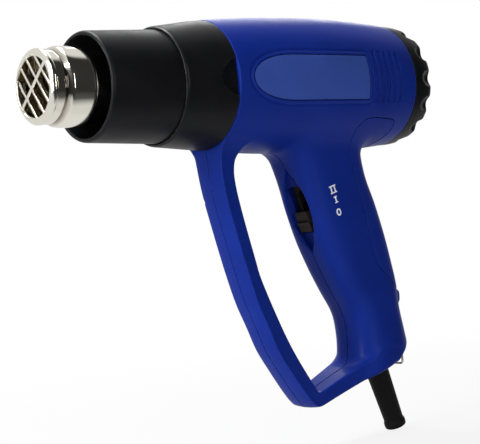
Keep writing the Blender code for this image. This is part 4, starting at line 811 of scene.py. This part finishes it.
def settle(form, points, cell, rounds=3):
    """Move points along the field's slope until they lie on its surface."""
    for _ in range(rounds):
        slope = gradient(form, points)
        size = np.maximum((slope ** 2).sum(axis=1), 0.15)
        move = np.clip(form(*points.T) / size, -0.6 * cell, 0.6 * cell)
        points = points - slope * move[:, None]
    return points


def placed(name, data):
    """A new object in the scene."""
    made = bpy.data.objects.new(name, data)
    bpy.context.scene.collection.objects.link(made)
    return made


def mesh_object(name, points, faces):
    """An object from arrays of points in metres and of equally sided faces."""
    mesh = bpy.data.meshes.new(name)
    sides = faces.shape[1]
    mesh.vertices.add(len(points))
    mesh.vertices.foreach_set("co", np.asarray(points, dtype=np.float32).ravel())
    mesh.loops.add(faces.size)
    mesh.loops.foreach_set("vertex_index", faces.astype(np.int32).ravel())
    mesh.polygons.add(len(faces))
    mesh.polygons.foreach_set("loop_start", np.arange(0, faces.size, sides, dtype=np.int32))
    mesh.update(calc_edges=True)
    mesh.validate()
    return placed(name, mesh)


def thinned(made, ratio):
    """Give an object fewer faces where it is flat."""
    modifier = made.modifiers.new("Thin out", "DECIMATE")
    modifier.ratio = ratio
    solved = made.evaluated_get(bpy.context.evaluated_depsgraph_get())
    mesh = bpy.data.meshes.new_from_object(solved)
    made.modifiers.clear()
    old = made.data
    made.data = mesh
    bpy.data.meshes.remove(old)
    mesh.name = made.name


def net_slope(values, low, cell, points):
    """The slope of a grid of values, read at the nearest grid points."""
    at = np.clip(np.rint((points - low) / cell).astype(int), 1, np.array(values.shape) - 2)
    slope = np.empty_like(points)
    for axis in range(3):
        ahead, behind = at.copy(), at.copy()
        ahead[:, axis] += 1
        behind[:, axis] -= 1
        slope[:, axis] = values[tuple(ahead.T)] - values[tuple(behind.T)]
    return slope / (2.0 * cell)


def solid_from(name, form, box, cell, keep=1.0):
    """A smooth object from a field over a box, both in millimetres."""
    axes = grid_of(box, cell)
    values = np.broadcast_to(form(*axes), tuple(axis.size for axis in axes))
    low = np.array([float(axis.ravel()[0]) for axis in axes])
    points, quads = net_of(values, low, cell)
    slope = net_slope(values, low, cell, points)
    size = np.maximum((slope ** 2).sum(axis=1), 0.15)
    move = np.clip(form(*points.T) / size, -0.5 * cell, 0.5 * cell)
    points = points - slope * move[:, None]
    made = mesh_object(name, points * MM, quads)
    if keep < 1.0:
        thinned(made, keep)
    points = settle(form, read_points(made) / MM, cell, 1)
    slope = gradient(form, points)
    made.data.vertices.foreach_set("co", (points * MM).astype(np.float32).ravel())
    normals = slope / np.maximum(np.linalg.norm(slope, axis=1), 1e-6)[:, None]
    made.data.shade_smooth()
    made.data.normals_split_custom_set_from_vertices(normals)
    return made


def read_points(made):
    """An object's vertices as an array."""
    flat = np.empty(3 * len(made.data.vertices), dtype=np.float32)
    made.data.vertices.foreach_get("co", flat)
    return flat.reshape(-1, 3).astype(float)


def collar_form(x, y, z):
    """The flared collar: a rounded shoulder, a thumb recess on each side and its spigot."""
    z = lowered(x, z)
    radius = np.sqrt(y * y + z * z)
    share = np.clip((x - X_COLLAR) / (X_HOUSING - X_COLLAR), 0.0, 1.0)
    skirt = COLLAR_FRONT_RADIUS - 0.2 + (BARREL_FRONT_RADIUS - COLLAR_FRONT_RADIUS + 0.1) * share
    outer = smooth_max(radius - skirt, X_COLLAR - x, 2.6)
    leaf = leaf_form(x - X_HOUSING - COLLAR_LEAF[0], np.abs(z - 0.2), *COLLAR_LEAF[1:])
    floor = outer + 0.4 + COLLAR_LEAF_SLOPE * np.maximum(x - COLLAR_LEAF_FROM, 0.0)
    dish = np.maximum(leaf, -floor)
    outer = carve(outer, np.maximum(dish, -np.abs(y) + 5.0), 0.8)
    outer = smooth_max(outer, x - X_HOUSING + 0.25, 0.7)
    ends = np.maximum(x - X_HOUSING - SPIGOT_LENGTH, X_COLLAR + COLLAR_SPIGOT_FROM - x)
    spigot = np.maximum(radius - COLLAR_SPIGOT_RADIUS, ends)
    return smooth_max(np.minimum(outer, spigot), COLLAR_BORE - radius, 0.4)


def cap_form(x, y, z):
    """The rear cap: a scooped rim, a sunk slotted face with a flat hub, and a spigot."""
    z = lowered(x, z)
    radius = np.sqrt(y * y + z * z)
    angle = np.arctan2(y, z)
    pitch = 2.0 * math.pi / SCOOP_COUNT
    off = angle - (np.floor(angle / pitch) + 0.5) * pitch
    outer = smooth_max(radius - cap_radius(x), x, 1.6)
    outer = smooth_max(outer, X_CAP + 0.3 - x, 0.6)
    scoop = np.sqrt(((x + 1.0) / SCOOP_SIZE[0]) ** 2 + (radius * np.sin(off) / SCOOP_SIZE[1]) ** 2
                    + ((radius * np.cos(off) - SCOOP_RADIUS) / SCOOP_SIZE[2]) ** 2)
    outer = carve(outer, SCOOP_SIZE[1] * (scoop - 1.0), 0.9)
    spigot = np.maximum(radius - CAP_SPIGOT_RADIUS, np.maximum(X_CAP - SPIGOT_LENGTH - x, x + 10.0))
    inside = np.maximum(radius - CAP_BORE, x + CAP_END_THICKNESS)
    form = np.maximum(np.minimum(outer, spigot), -inside)
    sunk = smooth_max(radius - CAP_FACE_RADIUS, CAP_HUB_RADIUS - radius, 0.6)
    sunk = smooth_max(sunk, -CAP_FACE_DEPTH - x, 0.6)
    form = carve(form, sunk, 0.8)
    spoke = angle - np.rint(angle / pitch) * pitch
    ends = np.abs(radius - CAP_SLOT_MIDDLE) - CAP_SLOT_HALF_LENGTH
    slot = smooth_max(np.abs(radius * np.sin(spoke)) - CAP_SLOT_HALF_WIDTH, ends, 1.2)
    return carve(form, slot + np.where(x > -8.0, 0.0, 20.0), 0.5)


def block_form(along, across, deep, row):
    """One raised block of the slide."""
    place, half_length, half_width, rounding, height, half_depth = row
    flat = smooth_max(np.abs(along - place) - half_length, across - half_width, rounding)
    return smooth_max(flat, np.abs(deep + height) - half_depth, 0.7)


def slider_form(x, y, z):
    """The thumb slide: two raised blocks with a groove between them, and its stem."""
    deep, along = switch_frame(x, z)
    along = along - SLIDER_REST
    across = np.abs(y)
    length, width, depth = SLIDER_PLATE
    plate = smooth_max(np.abs(along) - length, across - width, 0.6)
    plate = smooth_max(np.abs(deep + 0.4) - depth, plate, 0.5)
    upper, lower = (block_form(along, across, deep, row) for row in SLIDER_BLOCKS)
    ridge = SLIDER_RIDGE * np.cos(along * 2.0 * math.pi / SLIDER_RIDGE_PITCH) * (deep < -2.0)
    length, width, depth = SLIDER_STEM
    stem = np.maximum(np.maximum(np.abs(along) - length, across - width), np.abs(deep - depth) - depth)
    head = np.minimum(np.minimum(upper, lower) + ridge, block_form(along, across, deep, SLIDER_LEDGE))
    return np.minimum(np.minimum(plate, head), stem)


def screw_form(x, y, z):
    """A pan-head screw along Y, its seat at zero, with a cross recess in the head."""
    radius = np.sqrt(x * x + z * z)
    dome = np.sqrt(x * x + z * z + (y + 2.6) ** 2) - SCREW_DOME
    head = smooth_max(smooth_max(radius - SCREW_HEAD, dome, 0.5), -y, 0.3)
    thin, long = SCREW_ARM
    arm = np.maximum(np.abs(x) - thin, np.abs(z) - long)
    arm = np.minimum(arm, np.maximum(np.abs(z) - thin, np.abs(x) - long))
    head = carve(head, np.maximum(arm + 0.22 * (1.9 - y), 0.7 - y), 0.25)
    turn = np.mod(y + np.arctan2(x, z) / (2.0 * math.pi) * SCREW_PITCH, SCREW_PITCH)
    thread = 0.12 * np.abs(turn - 0.5 * SCREW_PITCH)
    shaft = np.maximum(radius - SCREW_SHAFT + thread, np.maximum(y - 0.6, SCREW_END - y))
    return np.minimum(head, shaft)


def eased(profile, steps=5):
    """A closed profile of (x, radius, rounding) rows with its corners rounded."""
    made = []
    for index, (x, radius, ease) in enumerate(profile):
        here = Vector((x, radius))
        if ease <= 0.0:
            made.append(here)
            continue
        before = Vector(profile[index - 1][:2]) - here
        after = Vector(profile[(index + 1) % len(profile)][:2]) - here
        start = here + before.normalized() * min(ease, 0.48 * before.length)
        end = here + after.normalized() * min(ease, 0.48 * after.length)
        for step in range(steps):
            t = step / (steps - 1)
            made.append(start * (1.0 - t) ** 2 + here * 2.0 * t * (1.0 - t) + end * t * t)
    return made


def ring_faces(rows, around):
    """Quads between rings of points, the last ring joined to the first."""
    row = np.arange(rows)[:, None] * around
    next_row = (np.arange(1, rows + 1) % rows)[:, None] * around
    step = np.arange(around)[None, :]
    after = (step + 1) % around
    return np.stack((row + step, row + after, next_row + after, next_row + step), axis=2).reshape(-1, 4)


def turned(name, matrix=None):
    """A round piece from its closed profile in millimetres, turned about X."""
    rows = np.array([tuple(point) for point in eased(PROFILES[name])])
    angles = 2.0 * math.pi * np.arange(AROUND) / AROUND
    x = np.repeat(rows[:, :1], AROUND, axis=1)
    y = rows[:, 1:] * np.sin(angles)[None, :]
    z = rows[:, 1:] * np.cos(angles)[None, :]
    points = np.stack((x, y, z), axis=2).reshape(-1, 3)
    made = mesh_object(name, points * MM, ring_faces(len(rows), AROUND))
    if matrix is not None:
        made.data.transform(matrix)
    return smoothed(made)


def smoothed(made, angle=38.0):
    """Smooth shading, with faces pointing out and hard edges kept."""
    bm = bmesh.new()
    bm.from_mesh(made.data)
    bmesh.ops.recalc_face_normals(bm, faces=bm.faces)
    bm.to_mesh(made.data)
    bm.free()
    made.data.shade_smooth()
    made.data.set_sharp_from_angle(angle=math.radians(angle))
    return made


def swept(name, path, radius, sides=14):
    """A round wire along a closed path in millimetres."""
    path = np.array(path, dtype=float)
    ahead = np.roll(path, -1, axis=0) - np.roll(path, 1, axis=0)
    ahead /= np.linalg.norm(ahead, axis=1)[:, None]
    up = np.array((1.0, 0.0, 0.0)) if abs(ahead[0][0]) < 0.9 else np.array((0.0, 0.0, 1.0))
    angles = 2.0 * math.pi * np.arange(sides) / sides
    rows = []
    for place, along in zip(path, ahead):
        side = np.cross(along, up)
        side /= np.linalg.norm(side)
        up = np.cross(side, along)
        rows.append(place + radius * (np.cos(angles)[:, None] * side + np.sin(angles)[:, None] * up))
    made = mesh_object(name, np.concatenate(rows) * MM, ring_faces(len(rows), sides))
    return smoothed(made, 50.0)


def bevelled_bar(bm, size, x, tilt, offset):
    """Add a bar of the grille with rounded edges, in millimetres."""
    turn = Matrix.Rotation(math.radians(tilt), 4, "X")
    spot = Matrix.Translation((x, 0.0, 0.0)) @ turn @ Matrix.Translation((0.0, offset, 0.0))
    made = bmesh.ops.create_cube(bm, size=1.0, matrix=spot @ Matrix.Diagonal((*size, 1.0)))
    edges = list({edge for vert in made["verts"] for edge in vert.link_edges})
    bmesh.ops.bevel(bm, geom=edges, offset=GRILLE_BEVEL, segments=3, profile=0.5, affect="EDGES")


def object_of(name, bm):
    """An object from a bmesh."""
    mesh = bpy.data.meshes.new(name)
    bm.to_mesh(mesh)
    bm.free()
    return placed(name, mesh)


def grille_piece():
    """The grille in the nozzle's mouth: a rim, a rib across and slats nearly square to it."""
    bm = bmesh.new()
    rows = []
    for x, radius in GRILLE_RIM:
        ring = []
        for index in range(AROUND):
            angle = 2.0 * math.pi * index / AROUND
            ring.append(bm.verts.new((x, radius * math.sin(angle), radius * math.cos(angle))))
        rows.append(ring)
    for first, second in zip(rows, rows[1:] + rows[:1]):
        for index in range(AROUND):
            after = (index + 1) % AROUND
            bm.faces.new((first[index], first[after], second[after], second[index]))
    bevelled_bar(bm, GRILLE_RIB_SIZE, GRILLE_RIB_X, GRILLE_RIB_TILT, GRILLE_RIB_OFFSET)
    for offset in GRILLE_SLATS:
        length = 2.0 * math.sqrt(GRILLE_REACH ** 2 - offset ** 2)
        bevelled_bar(bm, (*GRILLE_SLAT_SIZE, length), GRILLE_SLAT_X, GRILLE_SLAT_TILT, offset)
    bmesh.ops.scale(bm, vec=(MM, MM, MM), verts=bm.verts)
    return smoothed(object_of("grille_skin", bm))


def boot_matrix():
    """The strain relief's frame: its local X points out of the base."""
    turn = Matrix.Rotation(math.pi - BASE_SLOPE, 4, "Y") @ Matrix.Rotation(math.radians(-90.0), 4, "Y")
    return Matrix.Translation((BOOT_POINT[0] * MM, 0.0, BOOT_POINT[1] * MM)) @ turn


def bail_piece():
    """The wire bail: one rounded loop under the base."""
    path = []
    corners = ((1.0, 0.0, 0.0), (-1.0, 0.0, 90.0), (-1.0, -BAIL_DROP, 180.0), (1.0, -BAIL_DROP, 270.0))
    for side, low, start in corners:
        centre_y = side * (BAIL_HALF_WIDTH - BAIL_CORNER)
        centre_z = BAIL_PIVOT[1] + low + (BAIL_CORNER if low < 0.0 else -BAIL_CORNER)
        for step in range(9):
            angle = math.radians(start + 90.0 * step / 8)
            spot = (centre_y + BAIL_CORNER * math.cos(angle), centre_z + BAIL_CORNER * math.sin(angle))
            path.append((BAIL_PIVOT[0], spot[0], spot[1]))
    return swept("bail_skin", path, BAIL_WIRE)


def mark_piece():
    """The marks II, I and O beside the switch, laid on the grip as thin raised print."""
    outlines = []
    for centre, strokes in ((MARK_TWO, STROKES_TWO), (MARK_ONE, STROKES_ONE)):
        for u, v, wide, tall in strokes:
            grid_u = np.linspace(u - 0.5 * wide, u + 0.5 * wide, 5)
            grid_v = np.linspace(v - 0.5 * tall, v + 0.5 * tall, 7)
            sheet = np.stack(np.meshgrid(grid_u, grid_v, indexing="ij"), axis=2)
            outlines.append((centre, sheet, False))
    angles = np.linspace(0.0, 2.0 * math.pi, 41)[:-1]
    ring = np.stack((np.cos(angles), np.sin(angles)), axis=1)
    outlines.append((MARK_ZERO, np.stack([ring * size for size in RINGS_ZERO], axis=0), True))
    points, faces, start = [], [], 0
    for centre, grid, closed in outlines:
        x = centre[0] + grid[..., 0] * math.cos(SWITCH_TILT) - grid[..., 1] * math.sin(SWITCH_TILT)
        z = centre[1] + grid[..., 0] * math.sin(SWITCH_TILT) + grid[..., 1] * math.cos(SWITCH_TILT)
        y = surface_y(x, z)
        rows, columns = x.shape
        for lift in (-MARK_HEIGHT, MARK_DEPTH):
            points.append(np.stack((x, y + lift, z), axis=2).reshape(-1, 3))
        count = rows * columns
        number = start + np.arange(count).reshape(rows, columns)
        across = np.concatenate((number, number[:, :1]), axis=1) if closed else number
        corners = (across[:-1, :-1], across[1:, :-1], across[1:, 1:], across[:-1, 1:])
        top = np.stack(corners, axis=2).reshape(-1, 4)
        faces += [top, top[:, ::-1] + count]
        rims = [across[0], across[-1][::-1]]
        if not closed:
            rims += [number[::-1, 0], number[:, -1]]
        for rim in rims:
            faces.append(np.stack((rim[:-1], rim[1:], rim[1:] + count, rim[:-1] + count), axis=1))
        start += 2 * count
    made = mesh_object("switch_marks", np.concatenate(points) * MM, np.concatenate(faces))
    return smoothed(made, 30.0)


def surface_y(x, z):
    """Where the near side of the grip lies at places in the XZ plane."""
    flat_x, flat_z = x.ravel(), z.ravel()
    low = np.full(flat_x.shape, -40.0)
    high = np.full(flat_x.shape, -4.0)
    for _ in range(24):
        middle = 0.5 * (low + high)
        outside = outer_form(flat_x, middle, flat_z) > 0.0
        low = np.where(outside, middle, low)
        high = np.where(outside, high, middle)
    return (0.5 * (low + high)).reshape(x.shape)


def fed(tree, node, settings):
    """The node with its inputs set, each to a value or to the output that feeds it."""
    for key, value in settings.items():
        if isinstance(value, bpy.types.NodeSocket):
            tree.links.new(value, node.inputs[key])
        else:
            node.inputs[key].default_value = value
    return node


def node_of(tree, kind, settings):
    """A new shader node with its inputs set."""
    return fed(tree, tree.nodes.new("ShaderNode" + kind), settings)


def ranged(tree, source, low, high, start=0.0, end=1.0):
    """A value mapped from one range to another."""
    settings = {"Value": source, "From Min": start, "From Max": end, "To Min": low, "To Max": high}
    return node_of(tree, "MapRange", settings).outputs["Result"]


def noise(tree, place, scale, detail=3.0, roughness=0.55, stretch=None):
    """A noise value in the part's own space, in patterns per metre."""
    if stretch is not None:
        place = node_of(tree, "Mapping", {"Vector": place, "Scale": stretch}).outputs["Vector"]
    settings = {"Vector": place, "Scale": scale, "Detail": detail, "Roughness": roughness}
    return node_of(tree, "TexNoise", settings).outputs["Fac"]


def combined(tree, operation, *sources):
    """Several values put together, two by two, by one operation."""
    found = sources[0]
    for source in sources[1:]:
        node = node_of(tree, "Math", {0: found, 1: source})
        node.operation = operation
        found = node.outputs["Value"]
    return found


def blended(tree, share, first, second):
    """A colour between two others; each is a colour or another node's output."""
    node = tree.nodes.new("ShaderNodeMix")
    node.data_type = "RGBA"
    settings = {"Factor": share}
    for socket, colour in ((6, first), (7, second)):
        settings[socket] = (*colour, 1.0) if isinstance(colour, tuple) else colour
    return fed(tree, node, settings).outputs[2]


def axis_of(tree, place, axis):
    """One coordinate of a place."""
    return node_of(tree, "SeparateXYZ", {"Vector": place}).outputs[axis]


def painted_reflection_band(tree, place):
    """Where a dark reflection is painted on the nozzle: brown in the groove, in streaks."""
    along = axis_of(tree, place, "X")
    front = ranged(tree, along, 0.0, 1.0, *REFLECTION_BAND_FRONT)
    back = ranged(tree, along, 1.0, 0.0, *REFLECTION_BAND_BACK)
    streak = ranged(tree, noise(tree, place, REFLECTION_STREAKS, 3.0), 0.70, 1.0, 0.35, 0.65)
    return combined(tree, "MULTIPLY", front, back, streak)


def made_of(name, colour, roughness, shade, grain, bump, metallic=0.0, depth=0.0002, worn=None,
            wear=0.5, spread=0.06, stretch=None, coat=0.0, painted_reflection=None, gloss=PLASTIC_GLOSS):
    """A material with cloudy colour, uneven gloss, a fine grain and worn edges."""
    material = bpy.data.materials.new(name)
    material.use_nodes = True
    tree = material.node_tree
    place = tree.nodes.new("ShaderNodeTexCoord").outputs["Object"]
    darker = tuple(value * (1.0 - shade) for value in colour)
    lighter = tuple(min(1.0, value * (1.0 + shade)) for value in colour)
    cloudy = ranged(tree, noise(tree, place, CLOUDS, 4.0), 0.0, 1.0, 0.3, 0.7)
    base = blended(tree, cloudy, darker, lighter)
    # A dark brown reflection painted on the nozzle's chrome
    if painted_reflection is not None:
        base = blended(tree, painted_reflection_band(tree, place), base, painted_reflection)
    if worn is not None:
        edge = tree.nodes.new("ShaderNodeNewGeometry").outputs["Pointiness"]
        rubbed = ranged(tree, edge, 0.0, wear, 0.515, 0.60)
        patchy = ranged(tree, noise(tree, place, PATCHES, 5.0), 0.15, 1.0, 0.38, 0.62)
        base = blended(tree, combined(tree, "MULTIPLY", rubbed, patchy), base, worn)
    smudge = noise(tree, place, SMUDGES, 5.0, 0.6)
    height = noise(tree, place, grain, 3.0, 0.6, stretch)
    relief = {"Strength": bump, "Distance": depth, "Height": height}
    settings = {
        "Metallic": metallic,
        "Coat Weight": coat,
        "Base Color": base,
        "Roughness": ranged(tree, smudge, roughness - spread, roughness + spread, 0.3, 0.7),
        "Normal": node_of(tree, "Bump", relief).outputs["Normal"],
    }
    if metallic == 0.0:
        settings["Specular IOR Level"] = gloss
    fed(tree, tree.nodes["Principled BSDF"], settings)
    return material


MATERIALS = {name: made_of(name, *look[:-1], **look[-1]) for name, look in LOOKS.items()}


def dress(piece, body, slot, *nodes):
    """Give a piece its material and its place in the frame."""
    piece.data.materials.clear()
    piece.data.materials.append(MATERIALS["mark_white" if piece.name == "switch_marks" else slot])
    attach(piece, body)
    if nodes:
        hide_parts(*nodes)


def housing_pieces():
    """Both halves of the housing, the pad and the panel."""
    near = solid_from("housing_near_skin", near_form, HOUSING_BOX, CELL, 0.4)
    dress(near, "tool", "housing_blue", "housing_near")
    far = solid_from("housing_far_skin", far_form, HOUSING_BOX, CELL, 0.4)
    mirror(far)
    dress(far, "tool", "housing_blue", "housing_far")
    dress(solid_from("pad_skin", pad_form, PAD_BOX, CELL, 0.5), "tool", "pad_blue", "grip_pad")
    panel = solid_from("panel_skin", panel_form, PANEL_BOX, FINE, 0.4)
    dress(panel, "tool", "panel_blue", "side_panel")


def mirror(made):
    """Turn a near piece into the far one, keeping its own normals."""
    mesh = made.data
    count = len(mesh.loops)
    flat = np.empty(3 * count, dtype=np.float32)
    mesh.corner_normals.foreach_get("vector", flat)
    at = np.empty(count, dtype=np.int32)
    mesh.loops.foreach_get("vertex_index", at)
    normals = np.zeros((len(mesh.vertices), 3), dtype=np.float32)
    normals[at] = flat.reshape(-1, 3)
    normals[:, 1] *= -1.0
    mesh.transform(Matrix.Diagonal((1.0, -1.0, 1.0, 1.0)))
    mesh.flip_normals()
    mesh.normals_split_custom_set_from_vertices(normals)


def round_pieces():
    """The turned pieces, the grille, the collar and the cap."""
    dress(turned("nozzle_skin"), "tool", "nozzle_chrome", "nozzle_tube")
    dress(grille_piece(), "tool", "nozzle_chrome", "nozzle_grille")
    dress(turned("sleeve_skin"), "tool", "shield_black", "heat_shield")
    dress(turned("boot_skin", boot_matrix()), "tool", "boot_rubber", "strain_relief")
    collar = solid_from("collar_skin", collar_form, COLLAR_BOX, CELL, 0.5)
    dress(collar, "tool", "collar_black", "barrel_collar")
    dress(solid_from("cap_skin", cap_form, CAP_BOX, CELL, 0.5), "tool", "cap_black", "rear_cap")


def small_pieces():
    """The slide, the marks, the bail and the screws."""
    slider = solid_from("slider_skin", slider_form, SLIDER_BOX, 0.35)
    dress(slider, "slider", "switch_black", "switch_slider")
    dress(mark_piece(), "tool", "inner_ivory")
    dress(bail_piece(), "bail", "bail_steel", "hanging_bail")
    skins = [solid_from("screw_skin_1", screw_form, SCREW_BOX, 0.28)]
    for index in range(1, len(SCREWS)):
        piece = skins[0].copy()
        piece.data = skins[0].data.copy()
        piece.name = "screw_skin_%d" % (index + 1)
        bpy.context.scene.collection.objects.link(piece)
        skins.append(piece)
    for index, (piece, (x, z, seat)) in enumerate(zip(skins, SCREWS)):
        piece.data.transform(Matrix.Translation((x * MM, (seat + 0.3) * MM, z * MM)))
        dress(piece, "tool", "screw_steel", "housing_screw_%d" % (index + 1))


def carried_over():
    """Materials for the CAD nodes that stay as they are."""
    for slot, nodes in CARRIED_OVER.items():
        for name in nodes:
            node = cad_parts[name]
            node.data.materials.clear()
            node.data.materials.append(MATERIALS[slot])


def area_lamp(name, place, size, power):
    """A soft rectangular lamp that looks at the object."""
    data = bpy.data.lights.new(name, "AREA")
    data.shape = "RECTANGLE"
    data.size, data.size_y = size
    data.energy = power
    lamp = placed(name, data)
    lamp.location = place
    lamp.rotation_euler = (Vector(LAMP_AIM) - Vector(place)).to_track_quat("-Z", "Y").to_euler()


def rays(tree, *kinds):
    """One for rays of these kinds."""
    path = tree.nodes.new("ShaderNodeLightPath")
    return combined(tree, "MAXIMUM", *(path.outputs[kind] for kind in kinds))


def backdrop_rays(tree):
    """One for the rays that should meet the white backdrop."""
    return rays(tree, "Is Camera Ray", "Is Glossy Ray", "Is Transmission Ray")


def side_shade(tree, place, dark, bright):
    """One for what is looked at, and for reflections a fall to dark at the near side of the studio."""
    shade = ranged(tree, axis_of(tree, place, "Y"), REFLECTED_DARK, REFLECTED_BRIGHT, dark, bright)
    return combined(tree, "MAXIMUM", rays(tree, "Is Camera Ray", "Is Transmission Ray"), shade)


def mixed_shaders(tree, share, first, second, end):
    """Lead two shaders, mixed by a share, to the end of the tree."""
    mix = node_of(tree, "MixShader", {0: share, 1: first, 2: second})
    fed(tree, tree.nodes[end], {"Surface": mix.outputs["Shader"]})


def floor_piece():
    """The pale floor: white to the camera and darker where the object shades it; in reflections it is
    painted dark toward the near side.
    """
    bm = bmesh.new()
    bmesh.ops.create_grid(bm, x_segments=4, y_segments=4, size=FLOOR_SIZE)
    floor = object_of("floor", bm)
    floor.location = (0.0, 0.0, CAD_BOX[0][2] - FLOOR_DROP)
    material = bpy.data.materials.new("floor_white")
    material.use_nodes = True
    tree = material.node_tree
    tree.nodes.remove(tree.nodes["Principled BSDF"])
    place = tree.nodes.new("ShaderNodeTexCoord").outputs["Object"]
    length = node_of(tree, "VectorMath", {0: place})
    length.operation = "LENGTH"
    far = ranged(tree, length.outputs["Value"], *FLOOR_FADE)
    matt = node_of(tree, "BsdfDiffuse", {"Color": (FLOOR_TONE, FLOOR_TONE, FLOOR_TONE, 1.0)})
    # Its glow is white to the camera, and in reflections it is painted dark toward the near side
    white = {"Color": (1.0, 1.0, 1.0, 1.0), "Strength": side_shade(tree, place, *FLOOR_REFLECTED)}
    glow = node_of(tree, "Emission", white)
    share = combined(tree, "MULTIPLY", backdrop_rays(tree), far)
    mixed_shaders(tree, share, matt.outputs["BSDF"], glow.outputs["Emission"], "Material Output")
    floor.data.materials.append(material)


def studio_world():
    """A white world to look at, dim to light with, and dark at the near side for what shines."""
    world = bpy.data.worlds.new("studio")
    bpy.context.scene.world = world
    world.use_nodes = True
    tree = world.node_tree
    dim = {"Color": (0.97, 0.98, 1.0, 1.0), "Strength": WORLD_SOFT}
    soft = fed(tree, tree.nodes["Background"], dim)
    place = tree.nodes.new("ShaderNodeTexCoord").outputs["Generated"]
    white = {"Color": (1.0, 1.0, 1.0, 1.0), "Strength": side_shade(tree, place, *WORLD_REFLECTED)}
    shaders = [node.outputs["Background"] for node in (soft, node_of(tree, "Background", white))]
    mixed_shaders(tree, backdrop_rays(tree), *shaders, "World Output")


def camera():
    """The photograph's view."""
    data = bpy.data.cameras.new("view")
    data.lens = CAMERA_LENS
    data.sensor_width = 36.0
    data.clip_start = 0.01
    data.clip_end = 50.0
    eye = placed("view", data)
    turn = Matrix((CAMERA_RIGHT, CAMERA_UP, -Vector(CAMERA_FORWARD))).transposed()
    eye.matrix_world = Matrix.Translation(CAMERA_PLACE) @ turn.to_4x4()
    bpy.context.scene.camera = eye


def build():
    """Make every piece, the stage, the lamps and the camera."""
    housing_pieces()
    round_pieces()
    small_pieces()
    carried_over()
    floor_piece()
    studio_world()
    for name, lamp in LAMPS.items():
        area_lamp(name, *lamp)
    camera()
    bpy.context.scene.view_settings.view_transform = "Standard"


build()
